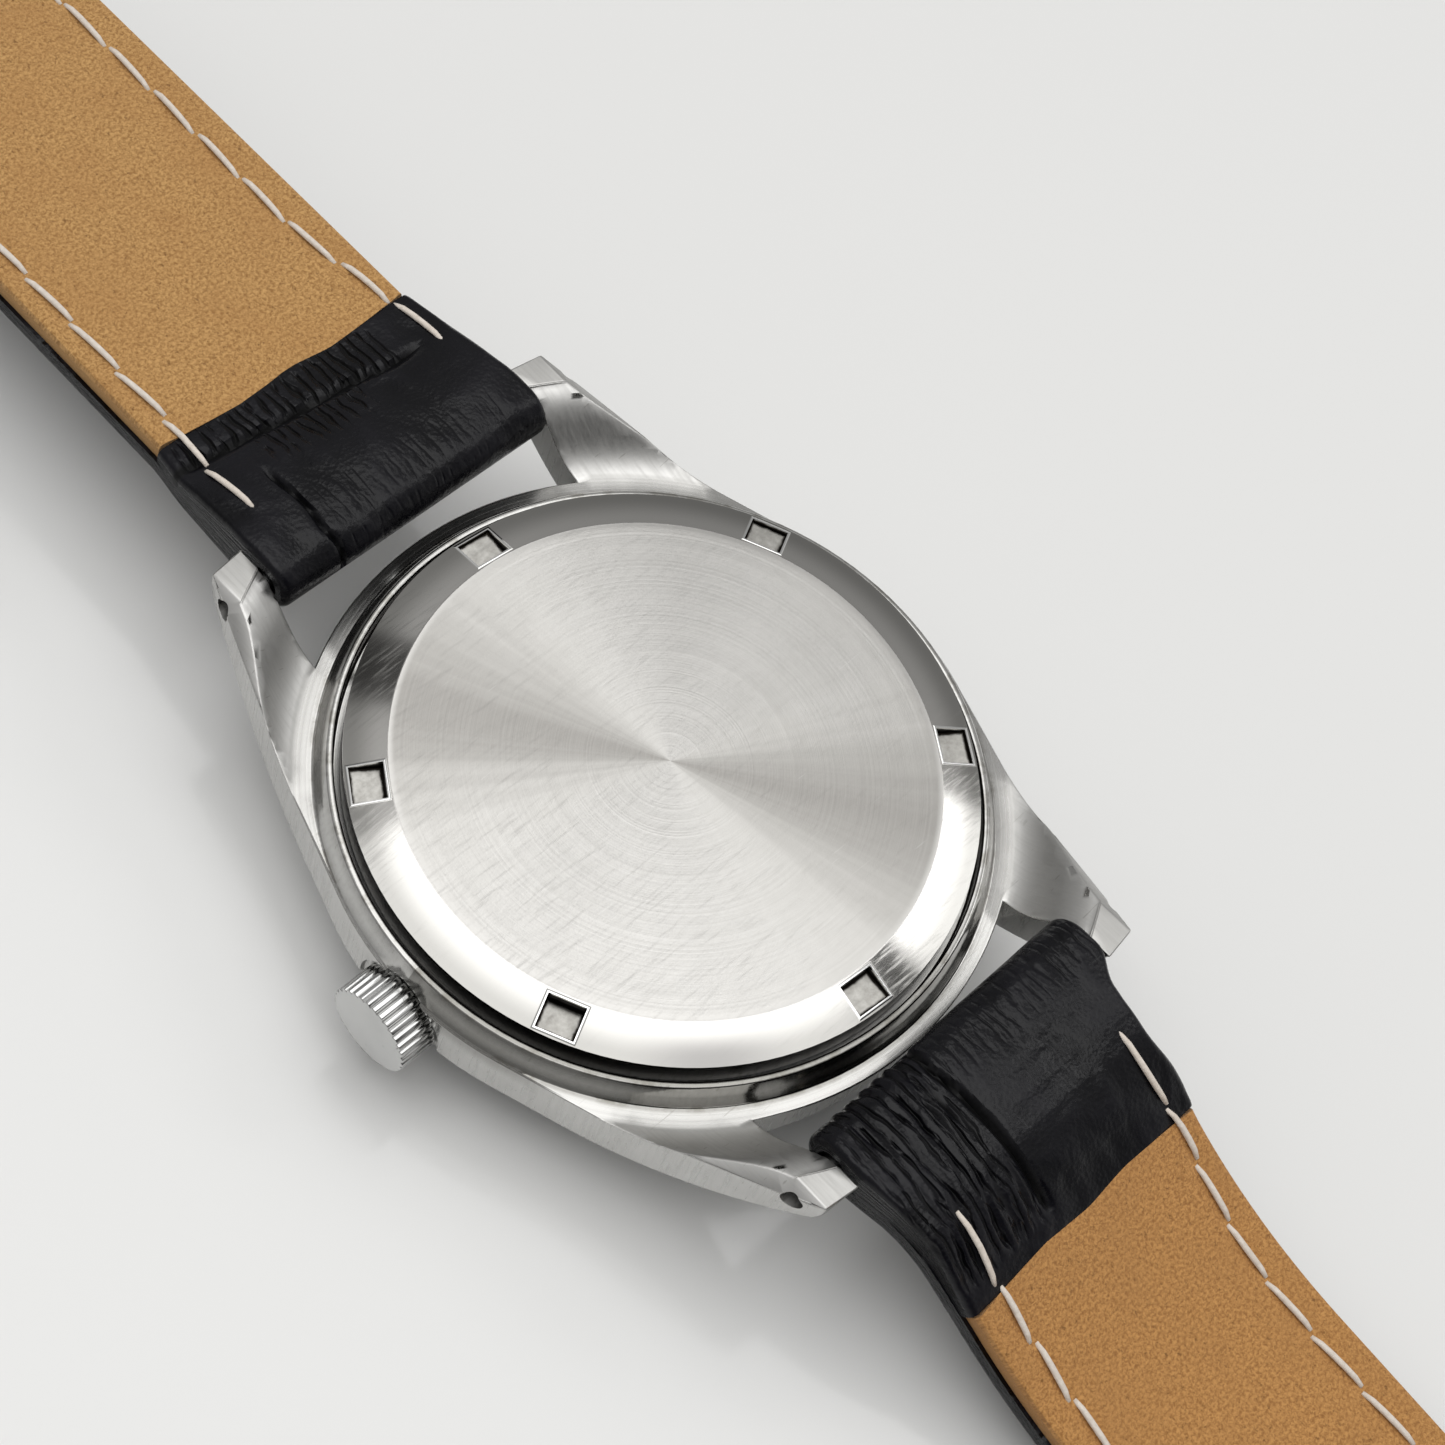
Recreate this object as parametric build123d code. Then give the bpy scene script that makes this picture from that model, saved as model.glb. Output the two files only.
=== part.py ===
from build123d import *
from math import acos, asin, atan2, cos, degrees, hypot, pi, radians, sin, sqrt, tan
import os

os.makedirs("parts", exist_ok=True)

# The watch lies face down. z is 0 on the flat top of the crystal and grows towards the case back.
# 12 o'clock is at +y, and the crown, at 3 o'clock, is at -x. Lengths are in millimetres.

# Clearances shared by the whole watch
running_gap = 0.05      # round a shaft, pinion or pivot
loose_gap = 0.15        # between parts that pass each other
soft_gap = 0.3          # round leather

# Case
lug_gap = 18.0          # width between the lugs, the strap size
case_radius = 17.25     # brushed flank
waist_radius = 17.95    # wall between the lugs
shoulder_radius = 18.05
lug_taper = 18.8        # slant of the lug flanks, in degrees
lug_reach = 21.45       # case axis to the end of a lug
lug_end_skew = 0.25     # the outer corner of a lug stands back by this
case_bottom = 3.9       # dial side face of the mid case
shoulder_height = 7.66
step_radius = 16.55     # upper edge of the turned step
step_foot_radius = 17.11
step_height = 8.8
step_lip = 0.35         # width of the flat top of the step
tip_radius = 22.05      # start of the flat lug tips
tip_height = 10.95
tip_ramp_drop = 0.1     # the ramp meets the tips this far below them
lug_curl_start = 9.0    # the dial side of the lugs curls up from here
lug_curl_radius = 16.4
lug_end_start = 20.7    # the slanted end face begins here on the dial side
lug_edge_start = 12.4   # along y, where the bevel of the outer lug edge begins
lug_edge_end = 19.15    # where it has its full width
lug_edge_width = 0.72
lug_edge_height = 8.0   # of its beginning
flank_bevel = 0.9       # polished edge between flank and dial side
bar_reach = 19.76       # case axis to the spring bars
bar_height = 10.0
bar_hole_radius = 0.55
bar_tube_end = 8.0
bar_flange_end = 8.4
bar_flange_radius = 0.85
bar_tip_end = 10.6
neck_radius = 15.7      # upstand that carries the bezel
neck_height = 1.6       # of the upstand above the dial side face
bezel_radius = 16.3
bezel_lift = 0.6        # how far the bezel's lip stands above the upstand
crystal_radius = 15.0
crystal_wall = 1.1
crystal_thickness = 1.3
crystal_flat_radius = 11.2
crystal_shoulder = 1.7  # depth of its rounded shoulder

# Case back
back_radius = 15.85
back_flat_radius = 13.74
back_height = 10.1
back_slope = 0.55       # fall of the polished ring
back_thickness = 1.2
back_thread_radius = 15.25
back_thread_length = 1.1
back_skirt_wall = 0.8
back_seat = 7.8         # height of the case's seat for the gasket
gasket_height = 0.25
gasket_width = 0.45
slot_count = 6
slot_first_angle = 85.5
slot_inner_radius = 13.95
slot_outer_radius = 15.6
slot_width = 1.95
slot_depth = 0.72
back_travel = 12.0

# Crown and stem
stem_height = 5.2
stem_radius = 0.5
crown_radius = 2.4
crown_length = 2.2
crown_clear = 0.6       # from the bezel's edge to its inner end
crown_dome = 0.16
crown_flutes = 32
flute_depth = 0.16
crown_bore_radius = 1.75
crown_bore_depth = 1.45
crown_travel = 0.9
tube_radius = 1.2
tube_in_crown = 1.2
crown_gasket_length = 0.35
stem_in_crown = 0.5
stem_groove_place = 11.6
stem_groove_radius = 0.3
stem_groove_width = 0.5
stem_pilot_radius = 0.25
stem_pilot_length = 0.9
clutch_length = 1.15
clutch_radius = 1.1
square_width = 0.7      # of the stem in the clutch

# Movement: heights of its layers from the crystal upwards
hand_thickness = 0.14
hand_spacing = 0.4
hour_hand_length = 7.2
minute_hand_length = 10.8
seconds_hand_length = 11.6
seconds_hand_height = 1.75
marker_thickness = 0.25
dial_face = 3.0
dial_thickness = 0.4
dial_radius = 14.1
marker_outer_radius = 12.4
plate_radius = 12.8
plate_thickness = 2.05
bore_radius = 14.3      # of the mid case, round the movement
holder_height = 3.4     # length of the movement ring
wheel_thickness = 0.15
layer_gap = 0.1         # between wheels that pass over each other

# Going train: teeth and axis distances
barrel_teeth = 60
centre_leaves = 8
barrel_distance = 5.95
barrel_angle = -120.0
centre_teeth = 48
third_leaves = 6
third_teeth = 45
fourth_leaves = 6
third_distance = 4.7
third_angle = 60.0
fourth_teeth = 60
escape_leaves = 6
escape_distance = 4.7
escape_angle = -15.0
escape_teeth = 15
escape_radius = 1.95
barrel_wall = 0.4
barrel_ring = 0.25
barrel_pivot_radius = 0.4
mainspring_turns = 7
balance_distance = 8.15
balance_angle = -45.0
balance_radius = 3.5
pin_reach = 0.6
pin_radius = 0.1
arbor_radius = 0.15
pivot_radius = 0.08
jewel_radius = 0.5
jewel_thickness = 0.3

tooth_depth = 1.2       # below the pitch circle, in modules
root_share = 0.36       # half width of a tooth at its root, as a share of the pitch
tip_share = 0.11        # the same at its tip
spoke_width = 0.55

# Motion work
cannon_leaves = 10
minute_teeth = 30
minute_leaves = 8
hour_teeth = 32
motion_distance = 3.1
motion_angle = 150.0
minute_post_radius = 0.25
motion_recess = 2.9

# Winding work
ratchet_teeth = 36
crown_wheel_teeth = 30
winding_teeth = 15
winding_module = 0.2
winding_pitch_radius = 1.3
crown_wheel_core = 0.8
barrel_arbor_radius = 0.7
ratchet_square = 0.9
ratchet_screw_radius = 0.8
click_angle = -100.0
click_reach = 5.0
click_depth = 0.1
click_post_radius = 0.3
lever_reach = 2.2
lever_thickness = 0.3
lever_post_radius = 0.3
lever_pin_radius = 0.2

# Bridges, as angles from +x and distances from the case axis, and their screws
bridge_inner = 9.3
bridge_outer = 12.6
barrel_bridge_start = 130.0
barrel_bridge_end = 295.0
train_bridge_start = -28.0
train_bridge_end = 120.0
train_foot_start = 20.0
cock_foot_inner = 9.9
cock_foot_start = -22.0
cock_foot_end = -2.0
fork_bridge_thickness = 0.3
fork_foot_reach = 3.2   # from the pallet fork
screw_ring = 11.6       # of the barrel bridge's screws
screw_head_radius = 0.6
screw_head_height = 0.35
screw_radius = 0.3
screw_depth = 0.9       # of the thread in the plate
screw_slot = 0.15

# Strap
strap_end_width = 17.2
strap_width = 16.5
strap_buckle_width = 16.0
strap_tip_width = 15.6
strap_tip_length = 12.0 # of the rounded point
strap_thickness = 2.2
lining_thickness = 1.0
loop_radius = 1.6
bar_radius = 0.75
turn_under = 28.5       # case axis to the border of the lining
strap_leave = 23.3      # case axis to where the loop has become flat
strap_top = 10.5
strap_12_length = 80.0  # spring bar to buckle bar
strap_6_length = 120.0  # spring bar to tip
hole_count = 7
hole_pitch = 6.5
hole_first = 27.0       # tip to the first hole
hole_radius = 0.9
keeper_width = 5.0
keeper_wall = 0.9
tail_room = 2.3         # gap in the keepers for the other strap
fixed_keeper_place = 8.5
free_keeper_place = 15.5
floor_gap = 0.05        # under the leather that lies on the table
flat_12 = 22.0          # level end of the 12 o'clock half
lining_to_bar = 6.0     # the lining ends this far before the buckle

# Buckle
buckle_tilt = 13.5
buckle_reach = 11.0     # bar to the middle of the front bar
buckle_side = 1.6
buckle_front = 2.4
buckle_thickness = 1.6
buckle_bar_radius = 0.6
buckle_loop_radius = 1.5
tongue_slot_reach = 4.0 # of the slot in the strap, from the bar
tongue_width = 2.0
tongue_thickness = 0.7
tongue_ring_radius = 1.15
tongue_past = 1.4       # how far the tongue reaches past the middle of the front bar

# Time shown
shown_minutes = 9
shown_seconds = 35

# Places and heights that follow from the sizes
crown_inner_end = bezel_radius + crown_clear
tube_reach = crown_inner_end + tube_in_crown
minute_hand_height = seconds_hand_height + hand_spacing
hour_hand_height = minute_hand_height + hand_spacing
plate_bottom = dial_face + dial_thickness
plate_top = plate_bottom + plate_thickness
motion_ceiling = plate_bottom + 0.85
barrel_floor = plate_top - 0.9
barrel_top = plate_top + 0.4
centre_wheel_base = barrel_top + 0.2
third_wheel_base = centre_wheel_base + wheel_thickness + 0.3
fourth_wheel_base = third_wheel_base + wheel_thickness + 0.2
ratchet_base = centre_wheel_base + wheel_thickness + 0.25
ratchet_thickness = 0.3
barrel_bridge_top = ratchet_base - running_gap
train_bridge_base = fourth_wheel_base + wheel_thickness + loose_gap
train_bridge_thickness = 0.6
balance_base = fourth_wheel_base
balance_thickness = 0.45
hairspring_base = balance_base + balance_thickness + 0.2
cock_base = train_bridge_base + train_bridge_thickness + 0.15
cock_thickness = 0.5
fork_base = plate_top + loose_gap
back_inside = back_height - back_thickness
flange_bottom = back_seat + gasket_height
strap_under = strap_top - strap_thickness


def save(name, *solids):
    """Writes one node, as one solid or as a group of separate ones."""
    shape = solids[0] if len(solids) == 1 else Compound(children=list(solids))
    export_step(shape, "parts/" + name + ".step")


def polar(radius, angle):
    """A point in plan at this distance from the case axis."""
    return radius * cos(radians(angle)), radius * sin(radians(angle))


def cylinder(x, y, low, high, radius):
    """An upright cylinder between two heights."""
    return Pos(x, y, (low + high) / 2) * Cylinder(radius, high - low)


def tube(x, y, low, high, outer, inner):
    """An upright ring between two heights."""
    hole = cylinder(x, y, low - 1, high + 1, inner)
    return cylinder(x, y, low, high, outer) - hole


def along_stem(left, right, radius):
    """A cylinder on the stem's axis between two distances from the case axis, towards the crown."""
    middle = -(left + right) / 2
    return Pos(middle, 0, stem_height) * Rot(0, 90, 0) * Cylinder(radius, abs(left - right))


def cross_bar(reach, height, low, high, radius):
    """A cylinder along x at this place, from one x to another."""
    return Pos((low + high) / 2, reach, height) * Rot(0, 90, 0) * Cylinder(radius, abs(high - low))


def block(low, high):
    """A box between two corners."""
    size = [b - a for a, b in zip(low, high)]
    middle = [(a + b) / 2 for a, b in zip(low, high)]
    return Pos(*middle) * Box(*size)


def turned(*outline):
    """A body turned round the case axis from lines through (radius, height) points."""
    points = [(radius, 0, height) for radius, height in outline]
    return revolve(make_face(Polyline(*points, close=True)), Axis.Z)


def toothed(x, y, base, thickness, teeth, module, point_at):
    """A flat toothed disc with a tooth pointing at the angle point_at."""
    pitch_radius = teeth * module / 2
    step = 360 / teeth
    corners = []
    for tooth in range(teeth):
        middle = point_at + tooth * step
        for radius, share in (
            (pitch_radius - tooth_depth * module, -root_share),
            (pitch_radius + module, -tip_share),
            (pitch_radius + module, tip_share),
            (pitch_radius - tooth_depth * module, root_share),
        ):
            corners.append(polar(radius, middle + share * step))
    disc = extrude(make_face(Polyline(*corners, close=True)), thickness)
    return Pos(x, y, base) * disc


def meshing(point_at, teeth, direction, mate_teeth):
    """Where a tooth of the mate points, for a wheel with this tooth and the mate in this direction."""
    past = (direction - point_at) * teeth / 360
    return direction + 180 + (past + 0.5) * 360 / mate_teeth


def bar(x1, y1, x2, y2, low, high, width):
    """A flat bar with round ends between two points in plan."""
    length = hypot(x2 - x1, y2 - y1)
    angle = degrees(atan2(y2 - y1, x2 - x1))
    face = Rot(0, 0, angle) * SlotCenterToCenter(length, width)
    return Pos((x1 + x2) / 2, (y1 + y2) / 2, low) * extrude(face, high - low)


def sector(inner, outer, start, end, low, high):
    """A slice of a ring between two angles."""
    arc = ThreePointArc(polar(outer, start), polar(outer, (start + end) / 2), polar(outer, end))
    sides = Polyline(polar(outer, end), (0, 0), polar(outer, start))
    slice_of_disc = Pos(0, 0, low) * extrude(make_face([arc, *sides.edges()]), high - low)
    return slice_of_disc - cylinder(0, 0, low - 1, high + 1, inner) if inner else slice_of_disc


def spoked(x, y, base, thickness, teeth, module, point_at, hub):
    """A toothed wheel with four arms between its rim and its hub."""
    rim = teeth * module / 2 - (tooth_depth + 1.6) * module
    opening = Cylinder(rim, 4 * thickness) - Cylinder(hub, 4 * thickness)
    arms = Box(2 * rim, spoke_width, 4 * thickness) + Box(spoke_width, 2 * rim, 4 * thickness)
    return toothed(x, y, base, thickness, teeth, module, point_at) - Pos(x, y, base) * (opening - arms)


def arbor(x, y, low, high, lower_pivot, upper_pivot):
    """A wheel's shaft with a thinner pivot at each end."""
    body = cylinder(x, y, low, high, arbor_radius)
    return body + cylinder(x, y, lower_pivot, upper_pivot, pivot_radius)


def spiral(x, y, base, height, start, pitch, turns, strip, per_turn=14):
    """A flat spiral spring of rectangular strip."""
    inner, outer = [], []
    for step in range(round(turns * per_turn) + 1):
        angle = 360 * step / per_turn
        radius = start + pitch * step / per_turn
        inner.append(polar(radius, angle))
        outer.append(polar(radius + strip, angle))
    face = make_face(Polyline(*inner, *reversed(outer), close=True))
    return Pos(x, y, base) * extrude(face, height)


def spaced(radius, angles):
    """Places at these angles, each turned to face outwards."""
    return [Rot(0, 0, angle) * Pos(radius, 0, 0) for angle in angles]


# ---- Mid case

def case_outline():
    """Plan of the case: a round flank that runs straight into four tapering lugs."""
    waist = sqrt(waist_radius**2 - (lug_gap / 2) ** 2)
    touch_x, touch_y = polar(case_radius, lug_taper)
    outer_y = lug_reach - lug_end_skew
    outer_x = touch_x - (outer_y - touch_y) * tan(radians(lug_taper))
    half = lug_gap / 2
    top = ThreePointArc((-half, waist), (0, waist_radius), (half, waist))
    right = ThreePointArc((touch_x, touch_y), (case_radius, 0), (touch_x, -touch_y))
    upper_lug = Polyline((half, waist), (half, lug_reach), (outer_x, outer_y), (touch_x, touch_y))
    lower_lug = mirror(upper_lug, about=Plane.XZ)
    half_line = [upper_lug, right, lower_lug]
    other_half = [mirror(edge, about=Plane.YZ) for edge in half_line]
    bottom = mirror(top, about=Plane.XZ)
    edges = [e for line in [top, bottom, *half_line, *other_half] for e in line.edges()]
    return make_face(Wire.combine(edges)[0])


def wrist_side_cut():
    """What the lathe takes off the wrist side: above the step, the shoulder, the ramp and the tips."""
    far = lug_reach + 5
    sky = tip_height + 3
    ramp = Spline(
        (shoulder_radius, 0, shoulder_height),
        ((shoulder_radius + tip_radius) / 2, 0, (shoulder_height + tip_height) / 2 - 0.1),
        (tip_radius, 0, tip_height - tip_ramp_drop),
        tangents=((1, 0, 0.25), (1, 0, 0.3)),
    )
    rest = Polyline(
        (tip_radius, 0, tip_height - tip_ramp_drop),
        (tip_radius, 0, tip_height),
        (far, 0, tip_height),
        (far, 0, sky),
        (0, 0, sky),
        (0, 0, step_height),
        (step_radius, 0, step_height),
        (step_foot_radius, 0, shoulder_height),
        (shoulder_radius, 0, shoulder_height),
    )
    return revolve(make_face([ramp, *rest.edges()]), Axis.Z)


def dial_side_cut():
    """What is milled off the dial side: flat in the middle, curling up along the lugs to their ends."""
    turn = asin((lug_end_start - lug_curl_start) / lug_curl_radius)
    end_height = case_bottom + lug_curl_radius * (1 - cos(turn))
    half_height = case_bottom + lug_curl_radius * (1 - cos(turn / 2))
    half_place = lug_curl_start + lug_curl_radius * sin(turn / 2)
    curl = ThreePointArc(
        (0, lug_curl_start, case_bottom), (0, half_place, half_height), (0, lug_end_start, end_height)
    )
    far = lug_reach + 5
    rest = Polyline(
        (0, lug_end_start, end_height),
        (0, lug_reach + 0.02, tip_height + 0.05),
        (0, far, tip_height + 0.05),
        (0, far, -1),
        (0, -far, -1),
        (0, -far, tip_height + 0.05),
        (0, -lug_reach - 0.02, tip_height + 0.05),
        (0, -lug_end_start, end_height),
    )
    flat = Line((0, -lug_curl_start, case_bottom), (0, lug_curl_start, case_bottom))
    face = make_face([curl, *rest.edges(), *mirror(curl, about=Plane.XZ).edges(), flat])
    return extrude(face, 2 * case_radius, both=True)


def lug_edge_bevel():
    """A wedge that breaks the outer wrist side edge of one lug, from nothing to full width at the tip."""
    slope = tan(radians(lug_taper))
    touch_x, touch_y = polar(case_radius, lug_taper)
    end_x = touch_x - (lug_edge_end - touch_y) * slope
    start = Vector(touch_x - (lug_edge_start - touch_y) * slope, lug_edge_start, lug_edge_height)
    inner = Vector(end_x - lug_edge_width, lug_edge_end, tip_height - tip_ramp_drop)
    outer = Vector(end_x, lug_edge_end, tip_height - lug_edge_width - 0.03)
    normal = (inner - start).cross(outer - start)
    if normal.Z < 0:
        normal = normal * -1
    plane = Plane(origin=start, x_dir=inner - start, z_dir=normal)
    length, half = 2 * lug_reach, lug_reach / 4
    return plane * Pos(length / 2, 0, half) * Box(length, 2 * lug_reach, 2 * half)


def dial_side_edges(body):
    """The edges between the flanks and the dial side, which carry the polished bevel."""
    touch_x, touch_y = polar(case_radius, lug_taper)
    found = []
    for edge in body.edges():
        middle = edge @ 0.5
        x, y = abs(middle.X), abs(middle.Y)
        on_lug = y > touch_y and abs(touch_x - (y - touch_y) * tan(radians(lug_taper)) - x) < 0.01
        on_round = y <= touch_y and abs(hypot(x, y) - case_radius) < 0.01
        turn = asin(min(1, max(0, y - lug_curl_start) / lug_curl_radius))
        height = case_bottom + lug_curl_radius * (1 - cos(turn))
        if (on_lug or on_round) and abs(middle.Z - height) < 0.01:
            found.append(edge)
    return found


def mid_case():
    body = extrude(Pos(0, 0, case_bottom - 1) * case_outline(), tip_height + 3 - case_bottom)
    body -= wrist_side_cut()
    body -= dial_side_cut()
    body = chamfer(dial_side_edges(body), flank_bevel)
    bevel = lug_edge_bevel()
    body -= bevel
    body -= mirror(bevel, about=Plane.YZ)
    body -= mirror(bevel, about=Plane.XZ)
    body -= mirror(mirror(bevel, about=Plane.XZ), about=Plane.YZ)
    body += cylinder(0, 0, case_bottom - neck_height, case_bottom + 0.5, neck_radius)
    body -= cylinder(0, 0, 0, dial_face, crystal_radius)
    body -= cylinder(0, 0, 0, step_height + 1, bore_radius)
    body -= cylinder(0, 0, back_seat - back_thread_length, step_height + 1, back_thread_radius + running_gap)
    body -= cylinder(0, 0, back_seat, step_height + 1, step_radius - step_lip)
    body -= along_stem(crown_inner_end - loose_gap, case_radius + 5, crown_radius + soft_gap)
    body -= along_stem(bore_radius - 1, case_radius + 1, tube_radius)
    for side in (-1, 1):
        body -= cross_bar(side * bar_reach, bar_height, -case_radius, case_radius, bar_hole_radius)
    return body


save("mid_case", mid_case())


# ---- Crystal, bezel and case back

def crystal():
    """A flat-topped dome with a deep rim; its shoulder is an arc that starts level with the top."""
    run = crystal_radius - crystal_flat_radius
    bend = (run**2 + crystal_shoulder**2) / (2 * crystal_shoulder)
    half_turn = asin(run / bend) / 2
    outer = [
        Line((0, 0, 0), (crystal_flat_radius, 0, 0)),
        ThreePointArc(
            (crystal_flat_radius, 0, 0),
            (crystal_flat_radius + bend * sin(half_turn), 0, bend * (1 - cos(half_turn))),
            (crystal_radius, 0, crystal_shoulder),
        ),
    ]
    inner_radius = crystal_radius - crystal_wall
    rest = Polyline(
        (crystal_radius, 0, crystal_shoulder),
        (crystal_radius, 0, dial_face),
        (inner_radius, 0, dial_face),
        (inner_radius, 0, crystal_shoulder + 0.25),
        (inner_radius - 1, 0, crystal_thickness),
        (0, 0, crystal_thickness),
        (0, 0, 0),
    )
    return revolve(make_face([*outer, *rest.edges()]), Axis.Z)


def bezel():
    lip = case_bottom - neck_height
    return turned(
        (crystal_radius, lip - bezel_lift),
        (crystal_radius + 0.5, lip - bezel_lift - 0.15),
        (bezel_radius - 0.1, case_bottom - 0.7),
        (bezel_radius, case_bottom - 0.6),
        (bezel_radius, case_bottom),
        (neck_radius, case_bottom),
        (neck_radius, lip),
        (crystal_radius, lip),
    )


def tension_ring():
    outer = crystal_radius - crystal_wall
    top = crystal_shoulder + 0.25
    return turned((outer, top), (outer, dial_face), (outer - 1, dial_face), (outer - 0.6, top))


def case_back():
    thread_end = back_seat - back_thread_length + 0.15
    inner = back_thread_radius - back_skirt_wall
    cover = turned(
        (0, back_inside),
        (inner, back_inside),
        (inner, thread_end),
        (back_thread_radius, thread_end),
        (back_thread_radius, flange_bottom),
        (back_radius, flange_bottom),
        (back_radius, back_height - back_slope),
        (back_flat_radius, back_height),
        (0, back_height),
    )
    middle = (slot_inner_radius + slot_outer_radius) / 2
    slot = Box(slot_outer_radius - slot_inner_radius, slot_width, 2 * slot_depth)
    for place in spaced(middle, [slot_first_angle + 360 / slot_count * k for k in range(slot_count)]):
        cover -= Pos(0, 0, back_height) * place * slot
    return cover


save("crystal", crystal())
save("bezel", bezel())
save("tension_ring", tension_ring())
save("case_back", case_back())
gasket_inner = back_radius - gasket_width
save("case_back_gasket", tube(0, 0, back_seat, flange_bottom, back_radius, gasket_inner))


# ---- Crown, stem and winding work

crown_end = crown_inner_end + crown_length
crown_boss = crown_inner_end + crown_bore_depth
crown_wheel_radius = winding_module * crown_wheel_teeth / 2
ratchet_radius = winding_module * ratchet_teeth / 2
barrel_x, barrel_y = polar(barrel_distance, barrel_angle)
crown_wheel_x = barrel_x - sqrt((ratchet_radius + crown_wheel_radius) ** 2 - barrel_y**2)
pinion_inner = -crown_wheel_x + crown_wheel_radius - 1.2 * winding_module + running_gap
pinion_outer = pinion_inner + 0.75
clutch_outer = pinion_inner - running_gap
clutch_inner = clutch_outer - clutch_length
stem_pilot_start = clutch_inner - 0.1


def crown():
    """A fluted cup with a low dome on its end."""
    flute_angle = 360 / crown_flutes
    corners = []
    for k in range(crown_flutes):
        corners.append(polar(crown_radius, k * flute_angle - 0.25 * flute_angle))
        corners.append(polar(crown_radius, k * flute_angle + 0.25 * flute_angle))
        corners.append(polar(crown_radius - flute_depth, k * flute_angle + 0.5 * flute_angle))
    body = extrude(make_face(Polyline(*corners, close=True)), crown_length)
    sphere = (crown_radius**2 + crown_dome**2) / (2 * crown_dome)
    body &= Pos(0, 0, crown_length - sphere) * Sphere(sphere)
    body -= Pos(0, 0, crown_bore_depth / 2) * Cylinder(crown_bore_radius, crown_bore_depth)
    body -= Pos(0, 0, crown_bore_depth) * Cylinder(stem_radius, 2 * stem_in_crown)
    return Pos(-crown_inner_end, 0, stem_height) * Rot(0, -90, 0) * body


def winding_stem():
    """Round where it runs in the tube and the pinion, square in the clutch, with a thin pilot."""
    stem = along_stem(crown_boss + stem_in_crown, clutch_outer, stem_radius)
    groove = stem_groove_place - stem_groove_width / 2, stem_groove_place + stem_groove_width / 2
    stem -= along_stem(*groove, stem_radius + 1)
    stem += along_stem(*groove, stem_groove_radius)
    length = clutch_outer - stem_pilot_start
    middle = (clutch_outer + stem_pilot_start) / 2
    stem += Pos(-middle, 0, stem_height) * Box(length, square_width, square_width)
    return stem + along_stem(stem_pilot_start, stem_pilot_start - stem_pilot_length, stem_pilot_radius)


def clutch_wheel():
    """Slides on the square of the stem, with a groove for its lever and teeth at its inner end."""
    body = along_stem(clutch_outer, clutch_inner, clutch_radius)
    groove = clutch_outer - 0.35, clutch_outer - 0.7
    body -= along_stem(*groove, clutch_radius + 1) - along_stem(*groove, clutch_radius - 0.3)
    opening = square_width + running_gap
    body -= Pos(-clutch_outer, 0, stem_height) * Box(4 * clutch_length, opening, opening)
    for k in range(8):
        notch = Rot(45 * k, 0, 0) * Pos(0, 0, clutch_radius) * Box(0.3, 0.35, 0.7)
        body -= Pos(-clutch_inner, 0, stem_height) * notch
    return body


save("crown", crown())
save("winding_stem", winding_stem())
save("clutch_wheel", clutch_wheel())
crown_tube_body = along_stem(bore_radius, tube_reach, tube_radius)
tube_bore = along_stem(bore_radius - 1, tube_reach + 1, stem_radius + 2 * running_gap)
save("crown_tube", crown_tube_body - tube_bore)
seal_start = crown_inner_end + loose_gap
crown_seal = along_stem(seal_start, seal_start + crown_gasket_length, crown_bore_radius)
save("crown_gasket", crown_seal - along_stem(seal_start - 1, seal_start + 1, tube_radius + running_gap))

pinion_length = pinion_outer - pinion_inner
pinion = toothed(0, 0, 0, pinion_length, winding_teeth, 2 * winding_pitch_radius / winding_teeth, 180)
pinion -= Cylinder(stem_radius + running_gap, 4 * pinion_length)
save("winding_pinion", Pos(-pinion_outer, 0, stem_height) * Rot(0, 90, 0) * pinion)

ratchet_angle = degrees(atan2(-barrel_y, crown_wheel_x - barrel_x))
crown_wheel_tooth = 180 + 180 / crown_wheel_teeth
ratchet_tooth = meshing(crown_wheel_tooth, crown_wheel_teeth, ratchet_angle + 180, ratchet_teeth)
ratchet_top = ratchet_base + ratchet_thickness


def crown_wheel():
    wheel = toothed(
        crown_wheel_x, 0, ratchet_base, ratchet_thickness, crown_wheel_teeth, winding_module, crown_wheel_tooth
    )
    return wheel - cylinder(crown_wheel_x, 0, 0, ratchet_top + 1, crown_wheel_core + running_gap)


def ratchet_wheel():
    wheel = toothed(
        barrel_x, barrel_y, ratchet_base, ratchet_thickness, ratchet_teeth, winding_module, ratchet_tooth
    )
    return wheel - Pos(barrel_x, barrel_y, ratchet_base) * Box(ratchet_square, ratchet_square, 2)


def barrel_arbor():
    """Pivots in the plate and the bridge, with a square for the ratchet wheel and its screw head."""
    body = cylinder(barrel_x, barrel_y, barrel_floor - 0.1, ratchet_base, barrel_arbor_radius)
    body += cylinder(barrel_x, barrel_y, barrel_floor - 0.5, barrel_floor, barrel_pivot_radius)
    body += Pos(barrel_x, barrel_y, ratchet_base + ratchet_thickness / 2) * Box(
        ratchet_square, ratchet_square, ratchet_thickness
    )
    head = cylinder(barrel_x, barrel_y, ratchet_top, ratchet_top + 0.2, ratchet_screw_radius)
    head -= Pos(barrel_x, barrel_y, ratchet_top + 0.2) * Box(3, 0.2, 0.2)
    return body + head


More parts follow.
